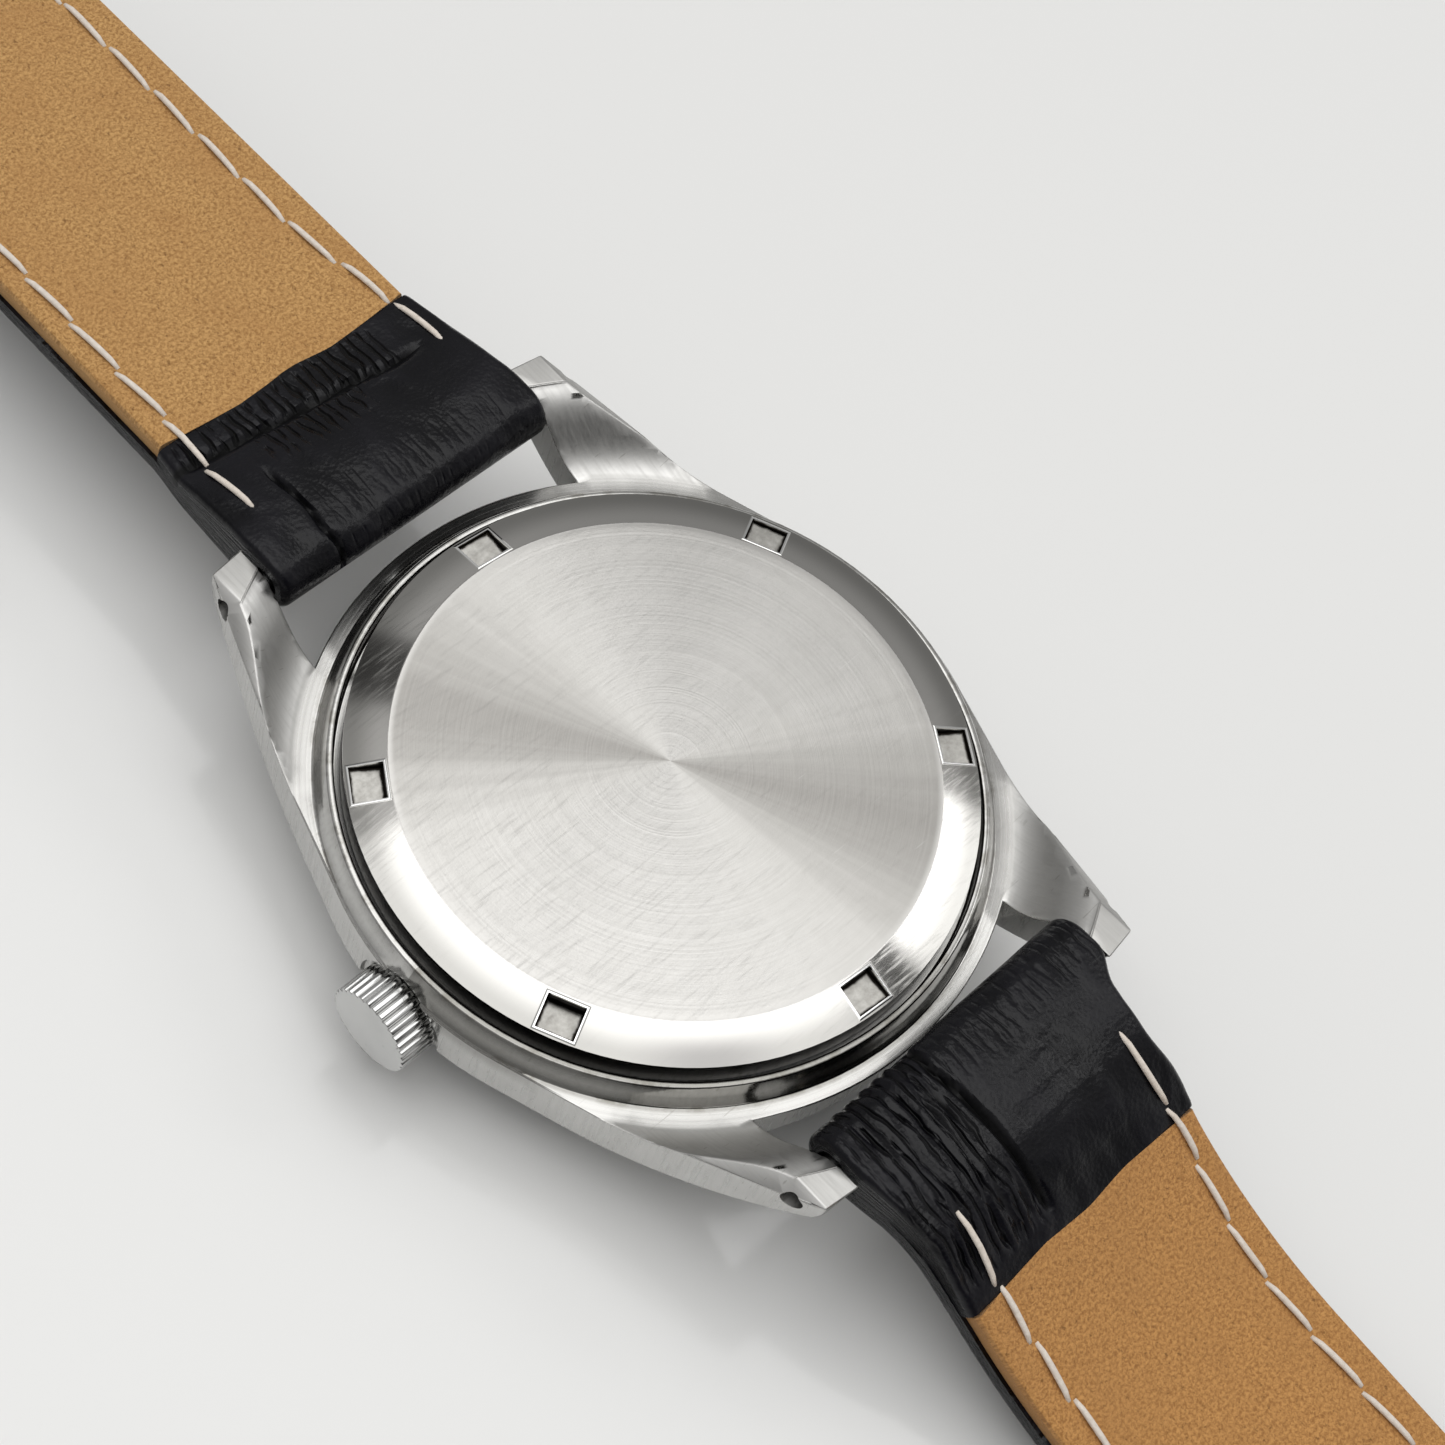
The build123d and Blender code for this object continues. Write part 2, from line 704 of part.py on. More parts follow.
def click():
    """Holds the ratchet wheel: a round eye and a nose that rests in its teeth."""
    tip = ratchet_radius + winding_module - click_depth
    eye_x = barrel_x + click_reach * cos(radians(click_angle))
    eye_y = barrel_y + click_reach * sin(radians(click_angle))
    nose_angle = click_angle + 17
    nose_x = barrel_x + (tip + 0.2) * cos(radians(nose_angle))
    nose_y = barrel_y + (tip + 0.2) * sin(radians(nose_angle))
    top = ratchet_base + 0.25
    body = cylinder(eye_x, eye_y, ratchet_base, top, 0.65)
    body += bar(eye_x, eye_y, nose_x, nose_y, ratchet_base, top, 0.4)
    return body - cylinder(eye_x, eye_y, 0, top + 1, click_post_radius + running_gap)


save("crown_wheel", crown_wheel())
save("ratchet_wheel", ratchet_wheel())
save("barrel_arbor", barrel_arbor())
save("click", click())


# ---- Barrel and going train

third_x, third_y = polar(third_distance, third_angle)
escape_x, escape_y = polar(escape_distance, escape_angle)
balance_x, balance_y = polar(balance_distance, balance_angle)
escape_to_balance = degrees(atan2(balance_y - escape_y, balance_x - escape_x))
pallet_distance = escape_radius / cos(radians(30))
pallet_x = escape_x + pallet_distance * cos(radians(escape_to_balance))
pallet_y = escape_y + pallet_distance * sin(radians(escape_to_balance))
barrel_module = 2 * barrel_distance / (barrel_teeth + centre_leaves)
centre_module = 2 * third_distance / (centre_teeth + third_leaves)
third_module = 2 * third_distance / (third_teeth + fourth_leaves)
fourth_module = 2 * escape_distance / (fourth_teeth + escape_leaves)
barrel_drum_radius = barrel_module * barrel_teeth / 2 - 0.35
fourth_arbor_radius = arbor_radius
centre_bore = fourth_arbor_radius + running_gap
centre_arbor_radius = centre_bore + 0.16
cannon_radius = centre_arbor_radius + 0.2
hour_pipe_bore = cannon_radius + running_gap
hour_pipe_radius = hour_pipe_bore + 0.24
jewel_top = plate_top - 0.05
bridge_jewel_base = train_bridge_base + 0.05


def barrel():
    """A shallow drum with teeth round its open end."""
    body = cylinder(barrel_x, barrel_y, barrel_floor, barrel_top, barrel_drum_radius)
    body += toothed(barrel_x, barrel_y, barrel_top - barrel_ring, barrel_ring, barrel_teeth, barrel_module, 0)
    cavity = barrel_drum_radius - barrel_wall
    body -= cylinder(barrel_x, barrel_y, barrel_floor + 0.2, barrel_top + 1, cavity)
    return body - cylinder(barrel_x, barrel_y, 0, barrel_top, barrel_arbor_radius + running_gap)


def centre_wheel():
    """A hollow arbor that carries the cannon pinion, the pinion that the barrel drives, and the wheel."""
    pinion_base = plate_top + running_gap
    leaf = meshing(0, barrel_teeth, barrel_angle + 180, centre_leaves)
    body = toothed(0, 0, pinion_base, centre_wheel_base - pinion_base, centre_leaves, barrel_module, leaf)
    body += spoked(0, 0, centre_wheel_base, wheel_thickness, centre_teeth, centre_module, 0, 0.9)
    body += cylinder(0, 0, minute_hand_height + 0.3, centre_wheel_base, centre_arbor_radius)
    return body - cylinder(0, 0, 0, tip_height, centre_bore)


def third_wheel():
    leaf = meshing(0, centre_teeth, third_angle, third_leaves)
    pinion_base = centre_wheel_base - layer_gap
    pinion_length = third_wheel_base - pinion_base
    body = toothed(third_x, third_y, pinion_base, pinion_length, third_leaves, centre_module, leaf)
    body += spoked(third_x, third_y, third_wheel_base, wheel_thickness, third_teeth, third_module, 0, 0.6)
    low, high = jewel_top + loose_gap, bridge_jewel_base - 0.05
    return body + arbor(third_x, third_y, low, high, jewel_top - 0.2, bridge_jewel_base + 0.2)


def fourth_wheel():
    """In the centre: its long arbor passes through the centre wheel and carries the seconds hand."""
    leaf = meshing(0, third_teeth, third_angle + 180, fourth_leaves)
    pinion_base = third_wheel_base - layer_gap
    pinion_length = fourth_wheel_base - pinion_base
    body = toothed(0, 0, pinion_base, pinion_length, fourth_leaves, third_module, leaf)
    body += spoked(0, 0, fourth_wheel_base, wheel_thickness, fourth_teeth, fourth_module, 0, 0.6)
    body += cylinder(0, 0, seconds_hand_height, fourth_wheel_base, fourth_arbor_radius)
    shaft_top = bridge_jewel_base - 0.05
    return body + arbor(0, 0, fourth_wheel_base, shaft_top, fourth_wheel_base, bridge_jewel_base + 0.2)


def escape_wheel():
    leaf = meshing(0, fourth_teeth, escape_angle, escape_leaves)
    body = toothed(
        escape_x, escape_y, fork_base, wheel_thickness, escape_teeth, escape_radius / (escape_teeth / 2 + 1), 0
    )
    pinion_base = fourth_wheel_base - layer_gap
    body += toothed(escape_x, escape_y, pinion_base, 0.3, escape_leaves, fourth_module, leaf)
    return body + arbor(
        escape_x, escape_y, fork_base, bridge_jewel_base - 0.05, jewel_top - 0.2, bridge_jewel_base + 0.2
    )


def pallet_fork():
    """Two arms with pallets each side of the escape wheel, and a lever with a notch for the roller's pin."""
    top = fork_base + wheel_thickness
    body = cylinder(pallet_x, pallet_y, fork_base, top, 0.35)
    for side in (-30, 30):
        angle = radians(escape_to_balance + side)
        stone_x = escape_x + (escape_radius + 0.16) * cos(angle)
        stone_y = escape_y + (escape_radius + 0.16) * sin(angle)
        body += bar(pallet_x, pallet_y, stone_x, stone_y, fork_base, top, 0.22)
    reach = balance_gap - pin_reach + 0.12
    end_x = pallet_x + reach * cos(radians(escape_to_balance))
    end_y = pallet_y + reach * sin(radians(escape_to_balance))
    body += bar(pallet_x, pallet_y, end_x, end_y, fork_base, top, 0.3)
    body += cylinder(end_x, end_y, fork_base, top, 0.3)
    pin_x, pin_y = roller_pin()
    body -= bar(pin_x, pin_y, balance_x, balance_y, 0, top + 1, 2 * (pin_radius + running_gap))
    shaft_top = fork_bridge_base - 0.02
    return body + arbor(pallet_x, pallet_y, fork_base, shaft_top, jewel_top - 0.2, fork_bridge_base + 0.2)


def roller_pin():
    """Place of the impulse pin, on the line from the balance to the pallet fork."""
    angle = radians(escape_to_balance + 180)
    return balance_x + pin_reach * cos(angle), balance_y + pin_reach * sin(angle)


def balance_staff():
    """Staff with the roller and its impulse pin."""
    roller_base = fork_base + wheel_thickness + 0.2
    body = cylinder(balance_x, balance_y, roller_base, roller_base + 0.15, pin_reach + 0.3)
    pin_x, pin_y = roller_pin()
    body += cylinder(pin_x, pin_y, fork_base, roller_base, pin_radius)
    body += cylinder(balance_x, balance_y, balance_base - 0.1, balance_base, 0.6)
    return body + arbor(
        balance_x, balance_y, jewel_top + 0.05, cock_base - 0.02, jewel_top - 0.2, cock_base + 0.2
    )


def balance_wheel():
    top = balance_base + balance_thickness
    arm_top = balance_base + 0.2
    wheel = tube(balance_x, balance_y, balance_base, top, balance_radius, balance_radius - 0.5)
    span = balance_radius - 0.3
    wheel += bar(balance_x - span, balance_y, balance_x + span, balance_y, balance_base, arm_top, 0.6)
    wheel += cylinder(balance_x, balance_y, balance_base, arm_top, 0.7)
    return wheel - cylinder(balance_x, balance_y, 0, top + 1, arbor_radius)


balance_gap = hypot(balance_x - pallet_x, balance_y - pallet_y)
fork_bridge_base = fork_base + wheel_thickness + 0.25
save("barrel", barrel())
cover_radius = barrel_drum_radius - barrel_wall
barrel_lid = cylinder(barrel_x, barrel_y, barrel_top - 0.2, barrel_top, cover_radius)
save("barrel_cover", barrel_lid - cylinder(barrel_x, barrel_y, 0, tip_height, barrel_arbor_radius + running_gap))
spring_room = cover_radius - barrel_arbor_radius - 0.35
save(
    "mainspring",
    spiral(
        barrel_x, barrel_y, barrel_floor + 0.25, barrel_top - barrel_floor - 0.55,
        barrel_arbor_radius + 0.1, spring_room / mainspring_turns, mainspring_turns, 0.18,
    ),
)
save("centre_wheel", centre_wheel())
save("third_wheel", third_wheel())
save("fourth_wheel", fourth_wheel())
save("escape_wheel", escape_wheel())
save("pallet_fork", pallet_fork())
save("balance_wheel", balance_wheel())
save("balance_staff", balance_staff())
hairspring_body = spiral(balance_x, balance_y, hairspring_base, 0.15, arbor_radius, 0.34, 5, 0.07)
save("hairspring", hairspring_body)


# ---- Motion work, dial and hands

motion_module = 2 * motion_distance / (cannon_leaves + minute_teeth)
hour_module = 2 * motion_distance / (minute_leaves + hour_teeth)
minute_x, minute_y = polar(motion_distance, motion_angle)
hour_wheel_base = plate_bottom + layer_gap
minute_wheel_base = hour_wheel_base + wheel_thickness + 0.2
minute_angle = (shown_minutes + shown_seconds / 60) * 6
hour_angle = (10 + minute_angle / 360) * 30
second_angle = shown_seconds * 6


def cannon_pinion():
    base = minute_wheel_base - 0.05
    body = toothed(0, 0, base, wheel_thickness + 0.1, cannon_leaves, motion_module, 0)
    body += cylinder(0, 0, minute_hand_height, base, cannon_radius)
    return body - cylinder(0, 0, 0, tip_height, centre_arbor_radius)


def minute_wheel():
    leaf_length = minute_wheel_base - plate_bottom - running_gap
    body = toothed(minute_x, minute_y, plate_bottom + running_gap, leaf_length, minute_leaves, hour_module, 0)
    wheel_tooth = meshing(0, cannon_leaves, motion_angle, minute_teeth)
    body += toothed(
        minute_x, minute_y, minute_wheel_base, wheel_thickness, minute_teeth, motion_module, wheel_tooth
    )
    return body - cylinder(minute_x, minute_y, 0, tip_height, minute_post_radius + running_gap)


def hour_wheel():
    wheel_tooth = meshing(0, minute_leaves, motion_angle + 180, hour_teeth)
    body = toothed(0, 0, hour_wheel_base, wheel_thickness, hour_teeth, hour_module, wheel_tooth)
    body += cylinder(0, 0, hour_hand_height, hour_wheel_base, hour_pipe_radius)
    return body - cylinder(0, 0, 0, tip_height, hour_pipe_bore)


def hand(height, length, width, tail, boss, hole, clock_angle):
    """A tapering hand that points at 12 o'clock and is then turned clockwise as the dial is read."""
    outline = Polyline(
        (-width / 2, 0), (-width / 2 * 0.8, length * 0.75), (0, length), (width / 2 * 0.8, length * 0.75),
        (width / 2, 0), (width / 4, -tail), (-width / 4, -tail), close=True,
    )
    blade = extrude(make_face(outline), hand_thickness) + Pos(0, 0, hand_thickness / 2) * Cylinder(
        boss, hand_thickness
    )
    blade -= Cylinder(hole, 4 * hand_thickness)
    return Pos(0, 0, height) * Rot(0, 0, clock_angle) * blade


save("cannon_pinion", cannon_pinion())
save("minute_wheel", minute_wheel())
save("hour_wheel", hour_wheel())
save("hour_hand", hand(hour_hand_height, hour_hand_length, 1.3, 1.2, 1.25, hour_pipe_radius, hour_angle))
save("minute_hand", hand(minute_hand_height, minute_hand_length, 1.0, 1.2, 0.95, cannon_radius, minute_angle))
thin_hand = hand(seconds_hand_height, seconds_hand_length, 0.3, 3.4, 0.5, fourth_arbor_radius, second_angle)
save("seconds_hand", thin_hand)

dial_hole = hour_pipe_radius + loose_gap
save("dial", tube(0, 0, dial_face, plate_bottom, dial_radius, dial_hole))
markers = []
for hour in range(12):
    length = 2.0 if hour % 3 else 2.6
    width = 0.5 if hour % 3 else 0.8
    middle = Pos(marker_outer_radius - length / 2, 0, dial_face - marker_thickness / 2)
    markers.append(Rot(0, 0, 90 + 30 * hour) * middle * Box(length, width, marker_thickness))
save("hour_markers", *markers)


# ---- Movement frame

barrel_recess = barrel_drum_radius + loose_gap
barrel_cover_recess = barrel_module * (barrel_teeth / 2 + 1) + loose_gap
train_recess = centre_module * (centre_teeth / 2 + 1) + loose_gap
holder_hole_radius = stem_radius + 0.7
click_x = barrel_x + click_reach * cos(radians(click_angle))
click_y = barrel_y + click_reach * sin(radians(click_angle))
winding_window = winding_pitch_radius + winding_pitch_radius / winding_teeth * 2 + loose_gap
window_inner = stem_pilot_start - running_gap
window_outer = pinion_outer + running_gap
window_floor = stem_height - winding_window
lever_x = -(stem_groove_place + crown_travel / 2)
lever_top = motion_ceiling
fork_foot_x = pallet_x + fork_foot_reach
lower_jewels = [
    (third_x, third_y), (escape_x, escape_y), (pallet_x, pallet_y), (balance_x, balance_y),
]
upper_jewels = [
    (third_x, third_y, bridge_jewel_base), (escape_x, escape_y, bridge_jewel_base), (0, 0, bridge_jewel_base),
    (pallet_x, pallet_y, fork_bridge_base), (balance_x, balance_y, cock_base),
]
screw_places = [
    (*polar(screw_ring, 150), barrel_bridge_top), (*polar(screw_ring, 195), barrel_bridge_top),
    (*polar(screw_ring, 287), barrel_bridge_top),
    (*polar(11.2, 35), train_bridge_base + train_bridge_thickness),
    (*polar(11.2, 105), train_bridge_base + train_bridge_thickness),
    (*polar(11.3, (cock_foot_start + cock_foot_end) / 2), cock_base + cock_thickness),
]


def screw(x, y, top, head_radius=screw_head_radius, height=screw_head_height, low=plate_top - screw_depth):
    """A slotted cheese head screw."""
    head = cylinder(x, y, top - height, top, head_radius)
    head -= Pos(x, y, top) * Box(2 * head_radius + 1, screw_slot, screw_slot * 2)
    return head + cylinder(x, y, low, top - height, screw_radius)


def drilled(body):
    """The body with the holes and counterbores of the bridge screws."""
    for x, y, top in screw_places:
        body -= cylinder(x, y, top - screw_head_height, top + 0.02, screw_head_radius)
        body -= cylinder(x, y, plate_top - screw_depth, top, screw_radius)
    return body


def winding_room(top):
    """The window of the clutch and the winding pinion, with the stem's channel."""
    room = block(
        (-window_outer, -winding_window, window_floor), (-window_inner, winding_window, top)
    )
    room += along_stem(plate_radius + 1, window_outer - 0.1, stem_radius + running_gap)
    low_end = stem_pilot_start - stem_pilot_length - crown_travel
    return room + along_stem(window_inner + 0.1, low_end, stem_pilot_radius + running_gap)


def main_plate():
    """Carries every wheel: recesses for the barrel and the motion work, jewel holes and the stem's channel."""
    body = cylinder(0, 0, plate_bottom, plate_top, plate_radius)
    body -= cylinder(0, 0, 0, motion_ceiling, motion_recess)
    body -= cylinder(minute_x, minute_y, 0, motion_ceiling, motion_recess)
    body += cylinder(minute_x, minute_y, plate_bottom, motion_ceiling, minute_post_radius)
    body -= cylinder(0, 0, 0, plate_top + 1, centre_arbor_radius + running_gap)
    body -= cylinder(barrel_x, barrel_y, barrel_floor - 0.1, plate_top + 1, barrel_recess)
    body -= cylinder(barrel_x, barrel_y, barrel_floor - 0.6, plate_top, barrel_pivot_radius + running_gap)
    body -= winding_room(plate_top + 1)
    for x, y in lower_jewels:
        body -= cylinder(x, y, jewel_top - jewel_thickness - 0.1, plate_top + 1, jewel_radius)
        body += tube(x, y, jewel_top - jewel_thickness - 0.1, jewel_top - jewel_thickness, jewel_radius, 0.3)
    body -= setting_room()
    body += cylinder(lever_x, -lever_reach, plate_bottom, lever_top + running_gap, lever_post_radius)
    body -= cylinder(fork_foot_x, pallet_y, plate_top - screw_depth, plate_top + 1, screw_radius)
    return drilled(body)


def setting_room():
    """Pocket on the dial side in which the setting lever swings, with the arc that its pin sweeps."""
    low, high = plate_bottom - 1, lever_top + running_gap
    swing = crown_travel / 2 + 0.6
    room = block((lever_x - swing, -lever_reach, low), (lever_x + swing, 0.65, high))
    room += cylinder(lever_x, -lever_reach, low, high, 0.9)
    for x in (lever_x - crown_travel / 2, lever_x + crown_travel / 2):
        room += cylinder(x, 0, low, stem_height, lever_pin_radius + 0.15)
    middle = (high + stem_height) / 2
    return room + Pos(lever_x, 0, middle) * Box(crown_travel, 2 * lever_pin_radius + 0.3, stem_height - high)


def setting_lever():
    """Swings with the stem: its pin stands in the stem's groove."""
    base = lever_top - lever_thickness
    pin_x = -stem_groove_place
    body = bar(lever_x, -lever_reach, pin_x, 0, base, lever_top, 0.7)
    body += cylinder(lever_x, -lever_reach, base, lever_top, 0.5)
    body += cylinder(pin_x, 0, base, stem_height - stem_groove_radius - 0.03, lever_pin_radius)
    return body - cylinder(lever_x, -lever_reach, 0, tip_height, lever_post_radius + running_gap)


def movement_ring():
    body = tube(0, 0, plate_bottom, plate_bottom + holder_height, bore_radius, plate_radius)
    return body - along_stem(plate_radius - 1, bore_radius + 1, holder_hole_radius)


def barrel_bridge():
    """Covers the barrel and carries the crown wheel on a core, the ratchet wheel and the click."""
    body = sector(0, bridge_outer, barrel_bridge_start, barrel_bridge_end, plate_top, barrel_bridge_top)
    body -= cylinder(0, 0, 0, tip_height, train_recess)
    body -= cylinder(barrel_x, barrel_y, 0, barrel_top + loose_gap, barrel_cover_recess)
    body -= cylinder(barrel_x, barrel_y, 0, tip_height, barrel_arbor_radius + running_gap)
    body -= winding_room(barrel_bridge_top + 1)
    body += cylinder(crown_wheel_x, 0, barrel_bridge_top - 0.4, ratchet_top + 0.03, crown_wheel_core)
    body += cylinder(click_x, click_y, barrel_bridge_top - 0.4, ratchet_top, click_post_radius)
    body -= cylinder(crown_wheel_x, 0, barrel_bridge_top - 0.6, tip_height, screw_radius)
    return drilled(body)


def train_bridge():
    """Carries the upper jewels of the third, fourth and escape wheels, on a tall foot."""
    top = train_bridge_base + train_bridge_thickness
    body = sector(0, bridge_inner + 0.3, train_bridge_start, train_bridge_end, train_bridge_base, top)
    body += sector(bridge_inner, bridge_outer, 5, train_bridge_end, train_bridge_base, top)
    body += sector(bridge_inner, bridge_outer, train_foot_start, train_bridge_end, plate_top, train_bridge_base)
    body += cylinder(0, 0, train_bridge_base, top, 1.6)
    body -= cylinder(balance_x, balance_y, train_bridge_base - 1, top + 1, balance_radius + 2 * loose_gap)
    for x, y in ((third_x, third_y), (0, 0), (escape_x, escape_y)):
        body -= cylinder(x, y, bridge_jewel_base, bridge_jewel_base + jewel_thickness, jewel_radius)
        body -= cylinder(x, y, train_bridge_base - 1, top + 1, 0.3)
    return drilled(body)


def pallet_bridge():
    top = fork_bridge_base + fork_bridge_thickness
    body = bar(pallet_x, pallet_y, fork_foot_x, pallet_y, fork_bridge_base, top, 1.3)
    body += cylinder(fork_foot_x, pallet_y, plate_top, fork_bridge_base, 0.65)
    body -= cylinder(pallet_x, pallet_y, fork_bridge_base, top + 1, jewel_radius)
    return body - cylinder(fork_foot_x, pallet_y, 0, top + 1, screw_radius)


def balance_cock():
    """One arm from its foot to the balance's upper jewel."""
    top = cock_base + cock_thickness
    foot_x, foot_y = polar((cock_foot_inner + bridge_outer) / 2, (cock_foot_start + cock_foot_end) / 2)
    body = sector(cock_foot_inner, bridge_outer, cock_foot_start, cock_foot_end, plate_top, top)
    body += bar(balance_x, balance_y, foot_x, foot_y, cock_base, top, 2.6)
    body -= cylinder(balance_x, balance_y, cock_base, cock_base + jewel_thickness, jewel_radius)
    body -= cylinder(balance_x, balance_y, cock_base, top + 1, 0.3)
    return drilled(body)


def jewels():
    """Bearing stones: rings pressed into the plate and the bridges."""
    bore = pivot_radius + 0.04
    lower = [tube(x, y, jewel_top - jewel_thickness, jewel_top, jewel_radius, bore) for x, y in lower_jewels]
    upper = [tube(x, y, base, base + jewel_thickness, jewel_radius, bore) for x, y, base in upper_jewels]
    return lower + upper


fork_screw_top = fork_bridge_base + fork_bridge_thickness + 0.2
crown_wheel_screw_top = ratchet_top + 0.03 + 0.2
save("setting_lever", setting_lever())
save("main_plate", main_plate())
save("movement_ring", movement_ring())
save("barrel_bridge", barrel_bridge())
save("train_bridge", train_bridge())
save("pallet_bridge", pallet_bridge())
save("balance_cock", balance_cock())
save("jewels", *jewels())
bridge_screws = [screw(x, y, top) for x, y, top in screw_places]
bridge_screws.append(screw(fork_foot_x, pallet_y, fork_screw_top, 0.5, 0.2))
bridge_screws.append(
    screw(crown_wheel_x, 0, crown_wheel_screw_top, crown_wheel_core + 0.5, 0.2, barrel_bridge_top - 0.6)
)
save("bridge_screws", *bridge_screws)


# ---- Spring bars

def spring_bar(side):
    """A tube with a flange at each end, from which the thin tips reach into the lugs."""
    reach = side * bar_reach
    body = cross_bar(reach, bar_height, -bar_tube_end, bar_tube_end, bar_radius)
    for end in (-1, 1):
        body += cross_bar(reach, bar_height, end * bar_tube_end, end * bar_flange_end, bar_flange_radius)
        body += cross_bar(reach, bar_height, end * bar_flange_end, end * bar_tip_end, bar_tip_radius)
    return body


bar_tip_radius = bar_hole_radius - running_gap
save("spring_bar_12", spring_bar(1))
save("spring_bar_6", spring_bar(-1))


# ---- Strap

leather_thickness = strap_thickness - lining_thickness
loop_bore = bar_radius + 0.2
buckle_loop_bore = buckle_bar_radius + soft_gap
tongue_end = buckle_reach + tongue_past
tongue_under = buckle_thickness / 2 + tongue_thickness + running_gap
tongue_drop = tongue_end * sin(radians(buckle_tilt)) + tongue_under * cos(radians(buckle_tilt))
buckle_bar_height = tongue_drop + floor_gap


def level_change(runs, drop, slope):
    """Length of a straight run at this slope that completes the drop which the bends begin."""
    heading, fallen = 0, 0
    for length, turn in runs:
        if turn:
            bend = length / radians(turn)
            fallen -= bend * (cos(radians(heading)) - cos(radians(heading + turn)))
        else:
            fallen -= length * sin(radians(heading))
        heading += turn
    return (drop - fallen) / sin(radians(slope))


def line_along(side, runs, offset):
    """Edges that follow the strap at this distance above its underside, and where they end."""
    edges = []
    heading, reach, height = 0.0, strap_leave, strap_under
    for length, turn in runs:
        spots = []
        for share in (0, 0.5, 1):
            angle = heading + share * turn
            if turn:
                bend = length / radians(turn)
                along = bend * (sin(radians(angle)) - sin(radians(heading)))
                up = bend * (cos(radians(heading)) - cos(radians(angle)))
            else:
                along = share * length * cos(radians(angle))
                up = share * length * sin(radians(angle))
            place = reach + along - offset * sin(radians(angle))
            spots.append((0, side * place, height + up + offset * cos(radians(angle))))
        edges.append(ThreePointArc(*spots) if turn else Line(spots[0], spots[2]))
        reach, height, heading = reach + along, height + up, heading + turn
    return edges, reach, height


def band(side, runs, low, high):
    """The section between two distances above the underside, as a face across the strap."""
    under, reach, height = line_along(side, runs, low)
    over, reach, height = line_along(side, runs, high)
    ends = [Line(under[0] @ 0, over[0] @ 0), Line(under[-1] @ 1, over[-1] @ 1)]
    return make_face([*under, *over, *ends])


def eye(side, reach, height, radius, bore, leave, low, high):
    """The fold round a bar, with the wedge that joins it to the flat strap."""
    wedge = Polyline(
        (0, side * reach, height + radius), (0, side * leave, high),
        (0, side * leave, low), (0, side * reach, height - radius), close=True,
    )
    plane = Plane(origin=(0, side * reach, height), x_dir=(0, 1, 0), z_dir=(1, 0, 0))
    return make_face(wedge) + plane * Circle(radius) - plane * Circle(bore)


def strap_plan(side, widths, end):
    """The strap's outline in plan, from (place, width) pairs, with its end added."""
    right = [(width / 2, side * place) for place, width in widths]
    left = [(-x, y) for x, y in reversed(right)]
    face = make_face(Polyline(*right, *end, *left, close=True))
    return extrude(face, strap_top + 5)


def across(face):
    return extrude(face, strap_end_width, both=True)


bend_12 = (8.0, -17.0)
end_under = buckle_bar_height - strap_thickness / 2
bend_back_12 = (bend_12[0], -bend_12[1])
slope_12 = level_change([bend_12, bend_back_12], strap_under - end_under, -bend_12[1])
level_12 = strap_12_length - (strap_leave - bar_reach) - 2 * bend_12[0] - slope_12 - flat_12
runs_12 = [(level_12, 0), bend_12, (slope_12, 0), bend_back_12, (flat_12, 0)]
bends_6 = [(3.0, -33.0), (2.0, 0), (14.14, 27.0), (3.0, 6.0)]
slope_6 = level_change(bends_6, strap_under - floor_gap, 6.0)
flat_6 = strap_6_length - (strap_leave - bar_reach) - slope_6 - sum(length for length, turn in bends_6)
runs_6 = [*bends_6[:3], (slope_6, 0), bends_6[3], (flat_6, 0)]
buckle_bar_place = line_along(1, runs_12, 0)[1]
tip_place = line_along(-1, runs_6, 0)[1]
lining_end_12 = buckle_bar_place - lining_to_bar
tongue_slot_width = tongue_width + 1.0


def leather_section(side, runs):
    """The outer leather, which also turns under as far as the border of the lining."""
    middle = Pos(0, side * (bar_reach + turn_under) / 2, strap_top)
    fold = middle * Box(1, turn_under - bar_reach, 2 * strap_top)
    section = band(side, runs, 0, leather_thickness)
    section += band(side, runs, leather_thickness, strap_thickness) & fold
    return section + eye(
        side, bar_reach, bar_height, loop_radius, loop_bore, strap_leave + 0.01, strap_under, strap_top
    )


def strap_12_plan():
    widths = [(bar_reach - loop_radius, strap_end_width), (turn_under - 2, strap_end_width)]
    widths += [(turn_under, strap_width), (buckle_bar_place + buckle_loop_radius, strap_buckle_width)]
    return strap_plan(1, widths, [])


def strap_6_plan():
    """Narrows towards a rounded point."""
    widths = [(bar_reach - loop_radius, strap_end_width), (turn_under - 2, strap_end_width)]
    widths += [(turn_under, strap_width), (tip_place - strap_tip_length, strap_tip_width)]
    end = [(strap_tip_width * 0.36, 5 - tip_place), (strap_tip_width * 0.12, 0.6 - tip_place), (0, -tip_place)]
    end += [(-x, y) for x, y in reversed(end[:-1])]
    return strap_plan(-1, widths, end)


def strap_12_leather():
    section = leather_section(1, runs_12)
    room = Pos(0, (lining_end_12 + buckle_bar_place) / 2, strap_top) * Box(
        1, buckle_bar_place - lining_end_12, 2 * strap_top
    )
    section += band(1, runs_12, leather_thickness, strap_thickness) & room
    end = eye(
        1, buckle_bar_place, buckle_bar_height, buckle_loop_radius, buckle_loop_bore,
        buckle_bar_place - 3, end_under, end_under + strap_thickness,
    )
    section += end
    bar_plane = Plane(origin=(0, buckle_bar_place, buckle_bar_height), z_dir=(1, 0, 0))
    section -= bar_plane * Circle(buckle_loop_bore)
    body = across(section) & strap_12_plan()
    slot = block(
        (-tongue_slot_width / 2, buckle_bar_place - tongue_slot_reach, 0),
        (tongue_slot_width / 2, buckle_bar_place + 2, strap_top),
    )
    return body - slot


